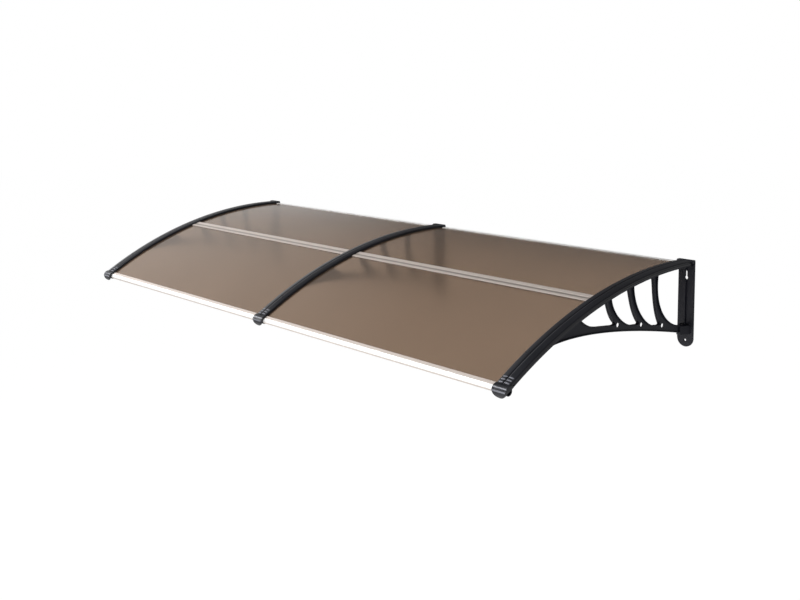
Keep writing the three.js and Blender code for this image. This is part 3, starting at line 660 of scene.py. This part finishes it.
def screw_steel():
    """Plated screw with faint turning marks."""
    finish = Finish("Screw steel", "screw_steel")
    base = tuple(bpy.context.scene.canopy_colours.steel)
    marks = finish.noise(scale=2600.0, detail=2.0)
    finish.tint(marks, base, 0.85, 1.1)
    finish.dull(marks, 0.22, 0.36)
    finish.set("Metallic", 1.0)
    finish.bump(marks, strength=0.08, distance=0.00005)
    return finish.material


def finish_of(maker):
    """The material that a maker makes, made once."""
    name = maker.__name__.replace("_", " ").capitalize()
    return bpy.data.materials.get(name) or maker()


# Pieces


def chord_line(steps):
    """Underside of the chord, from the wall plate to the arm."""
    bracket = bpy.context.scene.canopy_bracket
    under = flange_top() - bracket.flange_thickness
    front = on_arc(under, angle_at(bracket.chord_reach, under))
    start = (OVERLAP - bracket.plate_thickness, -bracket.chord_foot)
    return bezier([start, (-bracket.chord_bend, front[1] + bracket.chord_rise), front], steps)


def chord_top(out):
    """Height of the chord's upper edge a distance out from the wall."""
    line = chord_line(CHORD_TABLE_STEPS)
    for near, far in zip(line, line[1:]):
        if -far[0] >= out:
            share_along = (out + near[0]) / (near[0] - far[0])
            height = near[1] + (far[1] - near[1]) * share_along
            return height + bpy.context.scene.canopy_bracket.chord_depth
    raise ValueError("The chord does not reach that far")


def spine_radius():
    bracket = bpy.context.scene.canopy_bracket
    return flange_top() - bracket.flange_thickness - bracket.spine_depth


def under_arm(out):
    return on_arc(spine_radius(), angle_at(out, spine_radius()))


def blend(first, second, part):
    return first + (second - first) * part


def bowl_end(index):
    """Rear end of a bowl's floor: ahead of the next strut, or at the rib on the wall plate."""
    bracket = bpy.context.scene.canopy_bracket
    if index < len(STRUT_TOPS):
        out = STRUT_TOPS[index] - STRUT_LEANS[index] + bracket.foot_ahead + bracket.corner_length
        return -out, chord_top(out)
    out = bracket.plate_thickness + bracket.rib_depth
    return -out, chord_top(out) + bracket.bowl_rise


def ahead_of_strut(index):
    """Corner on the chord and a strut's front edge, up to the arm."""
    bracket = bpy.context.scene.canopy_bracket
    top_out = STRUT_TOPS[index] + bracket.strut_width / 2
    top_z = under_arm(top_out)[1]
    foot_out = STRUT_TOPS[index] - STRUT_LEANS[index] + bracket.foot_ahead
    foot = (-foot_out, chord_top(foot_out) + bracket.corner_height)
    corner = bezier([bowl_end(index), (-foot_out, chord_top(foot_out)), foot], STRUT_FOOT_STEPS)
    bend = (-top_out - STRUT_BOWS[index], blend(top_z, foot[1], STRUT_BEND))
    shoulder = (-top_out + bracket.shoulder / 2, top_z - bracket.shoulder)
    front = bezier([foot, bend, shoulder, under_arm(top_out + bracket.shoulder)], STRUT_STEPS)
    return corner + front[1:]


def behind_strut(index):
    """A strut's back edge and the bowl that it runs into."""
    bracket = bpy.context.scene.canopy_bracket
    end = bowl_end(index + 1)
    top_out = STRUT_TOPS[index] - bracket.strut_width / 2
    top = under_arm(top_out)
    turn = (-top_out - BOWL_BOWS[index], blend(top[1], end[1], BOWL_TURNS[index]))
    return bezier([top, turn, (end[0] - BOWL_FLOORS[index], end[1]), end], BOWL_STEPS)


def opening_edges():
    """Lower and side edge of each opening, from its front top corner round to its rear one."""
    bracket = bpy.context.scene.canopy_bracket
    neck = bracket.tip_out - bracket.tip_neck
    bend = bracket.tip_out - bracket.tip_bend
    tip_controls = [under_arm(bracket.tip_out), (-bend, chord_top(bend)), (-neck, chord_top(neck))]
    tip = bezier(tip_controls, TIP_STEPS)
    edges = [tip + ahead_of_strut(0)]
    for index in range(len(STRUT_TOPS)):
        rear = ahead_of_strut(index + 1)[1:] if index + 1 < len(STRUT_TOPS) else []
        edges.append(behind_strut(index) + rear)
    return edges


def arm_line(radius, rear_out, front_out, steps):
    return arc_line(radius, angle_at(rear_out, radius), angle_at(front_out, radius), steps)


def add_web(bm, x, edges):
    """The web with its openings, and the rib that stands on the wall plate."""
    bracket = bpy.context.scene.canopy_bracket
    under = flange_top() - bracket.flange_thickness
    half = bracket.web_thickness / 2
    spine = spine_radius()
    near = bracket.plate_thickness - OVERLAP
    outline = arm_line(under + OVERLAP, near, bracket.chord_reach, WEB_TOP_STEPS)
    outline += chord_line(CHORD_STEPS)[::-1][1:]
    outline.append((-near, edges[-1][-1][1]))
    outline += edges[-1][::-1]
    outline += arm_line(spine, near, -edges[-1][0][0], REAR_TOP_STEPS)[::-1][1:]
    holes = []
    for edge in edges[:-1]:
        holes.append(edge[1:-1] + arm_line(spine, -edge[-1][0], -edge[0][0], OPENING_TOP_STEPS))
    for top, lean in zip(STRUT_TOPS, STRUT_LEANS):
        holes.append(circle((lean - top, chord_top(top - lean)), bracket.root_hole / 2))

    def to_space(point, depth):
        return Vector((x + depth, *point))

    add_slab(bm, outline, -half, half, WEB_EDGE, to_space, holes)
    far = bracket.plate_thickness + bracket.rib_depth
    access_low = bracket.keyhole_height - bracket.keyhole_width / 2 - OVERLAP
    access_high = bracket.keyhole_height + bracket.keyhole_length + OVERLAP
    floor = edges[-1][-1][1] - OVERLAP
    for low, high in ((floor, access_low), (access_high, under_arm(far)[1] + OVERLAP)):
        rib = [(-near, low), (-far, low), (-far, high), (-near, high)]
        add_slab(bm, rib, -half, half, RIB_EDGE, to_space)


def add_rims(bm, x, edges):
    """Rims round the openings and along the chord's underside."""
    bracket = bpy.context.scene.canopy_bracket
    half = bracket.rim_width / 2
    rounding = bpy.context.scene.canopy_sizes.moulding_edge

    def to_space(point, depth):
        return Vector((x + depth, *point))

    for line in [chord_line(CHORD_STEPS), *edges]:
        add_slab(bm, strip_beside(line, bracket.rim_thickness), -half, half, rounding, to_space)


def rounded_bar(width, low, high, rounding):
    """Section of a bar: its width across, from one height to another, with rounded corners."""
    points = []
    for side_x, side_z, start in ((1, -1, 270), (1, 1, 0), (-1, 1, 90), (-1, -1, 180)):
        centre_x = side_x * (width / 2 - rounding)
        centre_z = (high - rounding) if side_z > 0 else (low + rounding)
        for i in range(BAR_CORNER_STEPS + 1):
            turn = math.radians(start + 90 * i / BAR_CORNER_STEPS)
            points.append((centre_x + rounding * math.cos(turn), centre_z + rounding * math.sin(turn)))
    return points


def add_arm(bm, x):
    """Flange under the sheets, the spine below it and the upstand between the sheets."""
    sizes = bpy.context.scene.canopy_sizes
    bracket = bpy.context.scene.canopy_bracket
    top = flange_top()
    under = top - bracket.flange_thickness
    start = angle_at(bracket.plate_thickness - OVERLAP, top)
    end = rail_angle() - (sizes.barrel_radius + sizes.fit - sizes.barrel_ahead) / top
    spine_end = rail_angle() - SPINE_FRONT / top
    bars = (
        (bracket.flange_width, under, top, end, sizes.moulding_edge),
        (bracket.rim_width, under - bracket.spine_depth, under + OVERLAP, spine_end, sizes.moulding_edge),
        (bracket.tenon_width, top - OVERLAP, sizes.sheet_radius, end, WEB_EDGE),
    )
    for width, low, high, stop, rounding in bars:
        section = rounded_bar(width, low - under, high - under, rounding)
        add_loft(bm, arc_rings(section, x, under, start, stop, ARM_STEPS))


def keyhole_outline():
    """Round hole with a slot above it, as (x, z) points."""
    bracket = bpy.context.scene.canopy_bracket
    radius = bracket.keyhole_width / 2
    half = bracket.keyhole_slot / 2
    top = bracket.keyhole_height + bracket.keyhole_length - half
    meet = math.acos(half / radius)
    points = []
    for i in range(KEYHOLE_STEPS + 1):
        turn = meet - (math.pi + 2 * meet) * i / KEYHOLE_STEPS
        points.append((radius * math.cos(turn), bracket.keyhole_height + radius * math.sin(turn)))
    for i in range(SLOT_END_STEPS + 1):
        turn = math.pi - math.pi * i / SLOT_END_STEPS
        points.append((half * math.cos(turn), top + half * math.sin(turn)))
    return points


def add_wall_plate(bm, x):
    """Wall plate with its keyhole and lower hole, and the gusset where the chord meets it."""
    bracket = bpy.context.scene.canopy_bracket
    half = bracket.plate_width / 2
    outline = [(half, bracket.plate_above), (-half, bracket.plate_above)]
    for i in range(PLATE_FOOT_STEPS + 1):
        turn = math.pi + math.pi * i / PLATE_FOOT_STEPS
        outline.append((half * math.cos(turn), half - bracket.plate_below + half * math.sin(turn)))
    lower = circle((0.0, -bracket.lower_hole_drop), bracket.lower_hole_width / 2)

    def to_wall(point, depth):
        return Vector((x + point[0], -depth, point[1]))

    holes = [keyhole_outline(), lower]
    add_slab(bm, outline, 0.0, bracket.plate_thickness, PLATE_EDGE, to_wall, holes)
    near = bracket.plate_thickness - OVERLAP
    far = bracket.plate_thickness + bracket.gusset_length
    wide = bracket.gusset_width / 2
    narrow = bracket.rim_width / 2
    gusset = [(-wide, -near), (-narrow, -far), (narrow, -far), (wide, -near)]
    low = OVERLAP - bracket.chord_foot

    def to_level(point, depth):
        return Vector((x + point[0], point[1], low + depth))

    add_slab(bm, gusset, 0.0, bracket.gusset_height, GUSSET_EDGE, to_level)


class CANOPY_OT_brackets(bpy.types.Operator):
    """Build the three brackets: wall plate, arm, openwork web and rims, each bracket one moulding"""

    bl_idname = "canopy.brackets"
    bl_label = "Brackets"

    def execute(self, context):
        edges = opening_edges()
        for side, x in BRACKET_PLACES.items():
            bm = bmesh.new()
            add_web(bm, x, edges)
            add_rims(bm, x, edges)
            add_arm(bm, x)
            add_wall_plate(bm, x)
            name = f"arm_moulding_{side}"
            mesh = finish_mesh(bm, name)
            piece = new_piece(name, mesh, f"bracket_{side}", finish_of(black_plastic))
            flat_faces_stay_flat(piece)
        return {"FINISHED"}


def cover_section(sizes, half):
    """Right half of the strip's section, from the foot of its side round to the groove's floor."""
    rounding = sizes.cover_round
    drop = ROUND_FLATNESS * rounding
    top = sizes.cover_height
    groove = sizes.groove_width / 2
    points = [(half, 0.0), (half, top - drop)]
    for i in range(1, COVER_ROUND_STEPS):
        turn = math.pi / 2 * i / COVER_ROUND_STEPS
        points.append((half - rounding * (1 - math.cos(turn)), top - drop * (1 - math.sin(turn))))
    flat = half - rounding
    for i in range(COVER_CROWN_STEPS):
        across = blend(flat, groove + 2 * GROOVE_LIP, i / COVER_CROWN_STEPS)
        points.append((across, top + sizes.cover_crown * (1 - (across / flat) ** 2)))
    crown = top + sizes.cover_crown
    points.append((groove + GROOVE_LIP, crown - GROOVE_LIP / 3))
    points.append((groove, crown - GROOVE_LIP * 4 / 3))
    points.append((groove, crown - sizes.groove_depth))
    return points


def against_barrel(x, across, radius):
    """Where a point of the cover strip's section meets the front clamp's barrel."""
    sizes = bpy.context.scene.canopy_sizes
    clear = sizes.barrel_radius + sizes.fit
    rise = radius - sizes.barrel_arc
    back = math.sqrt(max(0.0, clear**2 - rise**2)) - sizes.barrel_ahead
    y, z = on_arc(radius, rail_angle() - max(back, sizes.cover_front) / radius)
    return Vector((x + across, y, z))


def add_grip(bm, x, sizes, side, turn, half, radius):
    """One raised grip rib with rounded flanks, on one half of a cover strip."""
    inner = side * (sizes.groove_width / 2 + GRIP_CLEAR)
    outer = side * (half - sizes.grip_inset)
    reach = half - sizes.cover_round
    rows = []
    for k in range(GRIP_STEPS + 1):
        across = blend(inner, outer, k / GRIP_STEPS)
        taper = min(1.0, GRIP_END + GRIP_SWELL * min(k, GRIP_STEPS - k) / GRIP_STEPS)
        fall = max(0.0, 1 - (abs(across) / reach) ** 2)
        surface = radius + sizes.cover_height + sizes.cover_crown * fall
        half_width = sizes.grip_width / 2 * taper
        section = []
        for i in range(2 * GRIP_FLANK_STEPS + 1):
            swing = math.pi * i / (2 * GRIP_FLANK_STEPS)
            rise = math.sin(swing) * sizes.grip_height * taper
            section.append((math.cos(swing) * half_width, rise - GRIP_SINK))
        section += [(-half_width, -GRIP_ROOT), (half_width, -GRIP_ROOT)]
        row = []
        for along, height in section:
            y, z = on_arc(surface + height, turn + along / radius)
            row.append(Vector((x + across, y, z)))
        rows.append(row)
    faces_before = len(bm.faces)
    add_loft(bm, rows)
    bm.faces.ensure_lookup_table()
    # Grip rib faces take the second slot, a paler colour painted on as a highlight
    for face in bm.faces[faces_before:]:
        face.material_index = 1


class CANOPY_OT_covers(bpy.types.Operator):
    """Build the three cover strips, with their centre groove, rounded edges and grip ribs"""

    bl_idname = "canopy.covers"
    bl_label = "Cover strips"

    def execute(self, context):
        sizes = context.scene.canopy_sizes
        radius = sizes.sheet_radius + sizes.fit
        rail = rail_angle()
        low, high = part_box("cover_middle")
        half = (high.x - low.x) / 2
        rear = angle_at(-high.y, radius)
        front = rail - STRIP_BEND / radius
        right = cover_section(sizes, half)
        section = right + [(-across, height) for across, height in reversed(right)]
        for side, x in BRACKET_PLACES.items():
            rings = arc_rings(section, x, radius, rear, front, COVER_STEPS)
            rings.append([against_barrel(x, across, radius + height) for across, height in section])
            bm = bmesh.new()
            add_loft(bm, rings)
            for i in range(sizes.grip_count):
                turn = rail - (sizes.grip_first + i * sizes.grip_spacing) / radius
                for half_side in (-1, 1):
                    add_grip(bm, x, sizes, half_side, turn, half, radius)
            if side != "middle":
                outward = 1 if side == "right" else -1
                edge = outward * half
                inner = outward * (half - SKIRT_THICKNESS)
                skirt = [(edge, OVERLAP), (edge, -SKIRT_DEPTH), (inner, -SKIRT_DEPTH), (inner, OVERLAP)]
                add_loft(bm, arc_rings(skirt, x, radius, rear, front, COVER_STEPS))
            name = f"cover_strip_{side}"
            mesh = finish_mesh(bm, name, COVER_SHARP_DEGREES)
            gloss = finish_of(black_gloss_plastic)
            piece = new_piece(name, mesh, f"cover_{side}", gloss)
            # Second slot: the paler colour painted on the grip ribs as a highlight
            piece.data.materials.append(finish_of(polished_plastic))
        return {"FINISHED"}


class CANOPY_OT_rear_caps(bpy.types.Operator):
    """Build the rear caps that close the tops of the wall plates"""

    bl_idname = "canopy.rear_caps"
    bl_label = "Rear caps"

    def execute(self, context):
        for side in SIDES:
            node = f"rear_cap_{side}"
            name = f"plate_cap_{side}"
            mesh = rounded_copy(node, name, CAP_EDGE, CAD_SHARP_DEGREES, segments=3)
            piece = new_piece(name, mesh, node, finish_of(black_plastic))
            flat_faces_stay_flat(piece)
        return {"FINISHED"}


def paint_ridges(piece):
    """Paints a highlight on the ridges of a front clamp's barrel by giving their faces the paler colour."""
    sizes = bpy.context.scene.canopy_sizes
    axis_y, axis_z = on_arc(sizes.barrel_arc, rail_angle(), sizes.barrel_ahead)
    piece.data.materials.append(finish_of(polished_plastic))
    for face in piece.data.polygons:
        out = math.hypot(face.center.y - axis_y, face.center.z - axis_z) - sizes.barrel_radius
        above = face.center.z > axis_z
        if RELIEF_LOW < out < RELIEF_HIGH and above and abs(face.normal.x) < RIDGE_SIDEWAYS:
            face.material_index = 1


class CANOPY_OT_front_clamps(bpy.types.Operator):
    """Build the front clamps that hold the rail ends"""

    bl_idname = "canopy.front_clamps"
    bl_label = "Front clamps"

    def execute(self, context):
        edge = context.scene.canopy_sizes.moulding_edge
        for side in SIDES:
            node = f"front_clamp_{side}"
            name = f"rail_clamp_{side}"
            mesh = rounded_copy(node, name, edge, CAD_SHARP_DEGREES, segments=3)
            piece = new_piece(name, mesh, node, finish_of(black_gloss_plastic))
            flat_faces_stay_flat(piece)
            paint_ridges(piece)
        return {"FINISHED"}


class CANOPY_OT_sheets(bpy.types.Operator):
    """Build the four arched polycarbonate sheets"""

    bl_idname = "canopy.sheets"
    bl_label = "Sheets"

    def execute(self, context):
        sizes = context.scene.canopy_sizes
        thickness = sizes.sheet_thickness
        for bay in BAYS:
            for place in ("rear", "front"):
                node = f"sheet_{place}_{bay}"
                low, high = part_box(node)
                half = (high.x - low.x) / 2
                x = (high.x + low.x) / 2
                rear = angle_at(-high.y, sizes.sheet_radius)
                front = angle_at(-low.y, sizes.sheet_radius)
                section = [
                    (half, SHEET_EDGE - thickness),
                    (half, -SHEET_EDGE),
                    (half - SHEET_EDGE, 0.0),
                    (SHEET_EDGE - half, 0.0),
                    (-half, -SHEET_EDGE),
                    (-half, SHEET_EDGE - thickness),
                    (SHEET_EDGE - half, -thickness),
                    (half - SHEET_EDGE, -thickness),
                ]
                bm = bmesh.new()
                add_loft(bm, arc_rings(section, x, sizes.sheet_radius, rear, front, SHEET_STEPS))
                name = f"roof_sheet_{place}_{bay}"
                mesh = finish_mesh(bm, name)
                new_piece(name, mesh, node, finish_of(brown_polycarbonate))
        return {"FINISHED"}


def radius_of(point):
    """Distance of a point from the axis of the canopy's arcs."""
    sizes = bpy.context.scene.canopy_sizes
    return math.hypot(point.y + sizes.crest_out, point.z - sizes.crest_height + sizes.sheet_radius)


def paint_nose(piece):
    """Paints a highlight on the front and top of a front rail's round nose; its underside keeps the jaw's
    darker colour as painted shade.
    """
    sizes = bpy.context.scene.canopy_sizes
    axis_y, axis_z = on_arc(sizes.rail_radius, rail_angle())
    piece.data.materials.append(finish_of(painted_highlight_aluminium))
    for face in piece.data.polygons:
        out = math.hypot(face.center.y - axis_y, face.center.z - axis_z)
        # Front and top faces take the painted highlight; the underside stays darker as painted shade
        if out < sizes.nose_radius + NOSE_MARGIN and face.normal.z > NOSE_UNDERSIDE:
            face.material_index = 1


def paint_groove(piece):
    """Paints shade into the groove of a joint strip by giving its floor the darker colour."""
    top = max(radius_of(vertex.co) for vertex in piece.data.vertices)
    piece.data.materials.append(finish_of(groove_aluminium))
    for face in piece.data.polygons:
        depth = top - radius_of(face.center)
        if RELIEF_LOW < depth < RELIEF_HIGH and face.normal.z > GROOVE_UPWARD:
            face.material_index = 1


class CANOPY_OT_rails(bpy.types.Operator):
    """Build the front rails, the rear rails and the strips that join the sheets"""

    bl_idname = "canopy.rails"
    bl_label = "Rails and joint strips"

    def execute(self, context):
        edge = context.scene.canopy_sizes.metal_edge
        for bay in BAYS:
            for node, name, maker, painter in (
                (f"front_rail_{bay}", f"nose_rail_{bay}", pale_aluminium, paint_nose),
                # Rear rails take the paler colour painted on as a highlight
                (f"rear_rail_{bay}", f"wall_rail_{bay}", painted_highlight_aluminium, None),
                (f"joint_strip_{bay}", f"sheet_joint_{bay}", pale_aluminium, paint_groove),
            ):
                mesh = rounded_copy(node, name, edge, CAD_SHARP_DEGREES)
                piece = new_piece(name, mesh, node, finish_of(maker))
                flat_faces_stay_flat(piece)
                if painter:
                    painter(piece)
        return {"FINISHED"}


class CANOPY_OT_screws(bpy.types.Operator):
    """Build the screws that hold the cover strips and the front clamps"""

    bl_idname = "canopy.screws"
    bl_label = "Screws"

    def execute(self, context):
        for side in SIDES:
            nodes = [f"cover_screw_{side}_{i + 1}" for i in range(COVER_SCREWS)] + [f"clamp_screw_{side}"]
            for node in nodes:
                name = f"{node}_driven"
                mesh = rounded_copy(node, name, SCREW_EDGE, COVER_SHARP_DEGREES)
                piece = new_piece(name, mesh, node, finish_of(screw_steel))
                flat_faces_stay_flat(piece)
        return {"FINISHED"}


# Stage


def add_lamp(name, place, target, size, watts):
    light = bpy.data.lights.new(name, "AREA")
    light.shape = "RECTANGLE"
    light.size, light.size_y = size
    light.energy = watts
    lamp = bpy.data.objects.new(name, light)
    bpy.context.scene.collection.objects.link(lamp)
    lamp.location = place
    aim = Vector(target) - Vector(place)
    lamp.rotation_euler = aim.to_track_quat("-Z", "Y").to_euler()


def white_to_the_eye(nodes, links):
    """1 for rays that show the surroundings, straight from the camera or through a sheet."""
    path = nodes.new("ShaderNodeLightPath")
    sight = nodes.new("ShaderNodeMath")
    sight.operation = "MAXIMUM"
    links.new(path.outputs["Is Camera Ray"], sight.inputs[0])
    links.new(path.outputs["Is Transmission Ray"], sight.inputs[1])
    return sight.outputs[0]


def build_world(stage):
    """White to the eye, an even light on matt surfaces, and brighter on the left in reflections."""
    world = bpy.data.worlds.new("Pale surroundings")
    bpy.context.scene.world = world
    world.use_nodes = True
    nodes = world.node_tree.nodes
    links = world.node_tree.links
    background = nodes["Background"]
    background.inputs["Color"].default_value = (1, 1, 1, 1)
    path = nodes.new("ShaderNodeLightPath")
    coordinates = nodes.new("ShaderNodeTexCoord")
    split = nodes.new("ShaderNodeSeparateXYZ")
    links.new(coordinates.outputs["Generated"], split.inputs["Vector"])
    left = nodes.new("ShaderNodeMapRange")
    left.inputs["From Min"].default_value = LEFT_START
    left.inputs["From Max"].default_value = LEFT_END
    left.inputs["To Min"].default_value = stage.reflection_light
    left.inputs["To Max"].default_value = LEFT_LIGHT
    links.new(split.outputs["X"], left.inputs["Value"])
    matt = nodes.new("ShaderNodeMix")
    matt.inputs[2].default_value = stage.world_light
    links.new(path.outputs["Is Glossy Ray"], matt.inputs[0])
    links.new(left.outputs["Result"], matt.inputs[3])
    strength = nodes.new("ShaderNodeMix")
    strength.inputs[3].default_value = 1.0
    links.new(white_to_the_eye(nodes, links), strength.inputs[0])
    links.new(matt.outputs[0], strength.inputs[2])
    links.new(strength.outputs[0], background.inputs["Strength"])


def build_floor(stage):
    """A pale floor that is white to the eye and still takes a soft shadow."""
    low, _ = CAD_BOX
    bm = bmesh.new()
    bmesh.ops.create_grid(bm, x_segments=1, y_segments=1, size=FLOOR_HALF)
    mesh = bpy.data.meshes.new("floor")
    bm.to_mesh(mesh)
    bm.free()
    floor = bpy.data.objects.new("floor", mesh)
    bpy.context.scene.collection.objects.link(floor)
    floor.location = (0, 0, low[2] - stage.floor_drop)
    material = bpy.data.materials.new("Floor")
    material.use_nodes = True
    nodes = material.node_tree.nodes
    links = material.node_tree.links
    nodes.remove(nodes["Principled BSDF"])
    matt = nodes.new("ShaderNodeBsdfDiffuse")
    matt.inputs["Color"].default_value = (*bpy.context.scene.canopy_colours.floor, 1)
    glow = nodes.new("ShaderNodeEmission")
    glow.inputs["Strength"].default_value = FLOOR_GLOW
    mix = nodes.new("ShaderNodeMixShader")
    white_share = nodes.new("ShaderNodeMath")
    white_share.operation = "MULTIPLY"
    white_share.inputs[1].default_value = FLOOR_WHITE
    links.new(white_to_the_eye(nodes, links), white_share.inputs[0])
    links.new(white_share.outputs[0], mix.inputs["Fac"])
    links.new(matt.outputs["BSDF"], mix.inputs[1])
    links.new(glow.outputs["Emission"], mix.inputs[2])
    links.new(mix.outputs["Shader"], nodes["Material Output"].inputs["Surface"])
    mesh.materials.append(material)


def build_camera(stage):
    data = bpy.data.cameras.new("Camera")
    data.lens = stage.lens
    data.sensor_width = SENSOR_WIDTH
    data.sensor_fit = "HORIZONTAL"
    data.shift_y = (stage.lens_centre - IMAGE_HEIGHT / 2) / IMAGE_WIDTH
    camera = bpy.data.objects.new("Camera", data)
    bpy.context.scene.collection.objects.link(camera)
    camera.location = stage.camera_place
    camera.rotation_euler = (math.radians(90) - stage.camera_pitch, 0, stage.camera_heading)
    bpy.context.scene.camera = camera


class CANOPY_OT_stage(bpy.types.Operator):
    """Set up the floor, the surroundings, the lamps and the camera"""

    bl_idname = "canopy.stage"
    bl_label = "Stage"

    def execute(self, context):
        stage = context.scene.canopy_stage
        context.scene.view_settings.view_transform = "Standard"
        build_world(stage)
        build_floor(stage)
        for name, place, target, size, watts in (
            ("Key lamp", (-1.6, -2.4, 3.0), (0.0, -0.4, 0.0), (1.6, 1.6), stage.key_power),
            ("Side lamp", (-2.9, -2.3, 1.7), (-0.7, -0.4, 0.0), (1.4, 1.4), stage.side_power),
            ("Fill lamp", (0.4, -3.4, -0.4), (0.5, 0.0, 0.0), (2.4, 1.2), stage.fill_power),
        ):
            add_lamp(name, place, target, size, watts)
        build_camera(stage)
        return {"FINISHED"}


class CANOPY_PT_panel(bpy.types.Panel):
    """Lists the canopy's pieces in the order in which they are built"""

    bl_idname = "CANOPY_PT_panel"
    bl_label = "Door Canopy"
    bl_space_type = "VIEW_3D"
    bl_region_type = "UI"
    bl_category = "Canopy"

    def draw(self, context):
        for operator in OPERATORS:
            self.layout.operator(operator.bl_idname)
        for group_name, group in GROUPS.items():
            box = self.layout.box()
            for name in group.__annotations__:
                box.prop(getattr(context.scene, group_name), name)


OPERATORS = (
    CANOPY_OT_brackets,
    CANOPY_OT_covers,
    CANOPY_OT_rear_caps,
    CANOPY_OT_front_clamps,
    CANOPY_OT_sheets,
    CANOPY_OT_rails,
    CANOPY_OT_screws,
    CANOPY_OT_stage,
)
GROUPS = {
    "canopy_sizes": CanopySizes,
    "canopy_bracket": BracketSizes,
    "canopy_colours": CanopyColours,
    "canopy_stage": CanopyStage,
}


def register():
    for name, group in GROUPS.items():
        bpy.utils.register_class(group)
        setattr(bpy.types.Scene, name, PointerProperty(type=group))
    for operator in OPERATORS:
        bpy.utils.register_class(operator)
    bpy.utils.register_class(CANOPY_PT_panel)


def unregister():
    bpy.utils.unregister_class(CANOPY_PT_panel)
    for operator in reversed(OPERATORS):
        bpy.utils.unregister_class(operator)
    for name, group in reversed(GROUPS.items()):
        delattr(bpy.types.Scene, name)
        bpy.utils.unregister_class(group)


def main():
    register()
    bpy.ops.canopy.brackets()
    bpy.ops.canopy.covers()
    bpy.ops.canopy.rear_caps()
    bpy.ops.canopy.front_clamps()
    bpy.ops.canopy.sheets()
    bpy.ops.canopy.rails()
    bpy.ops.canopy.screws()
    bpy.ops.canopy.stage()


if __name__ == "__main__":
    main()
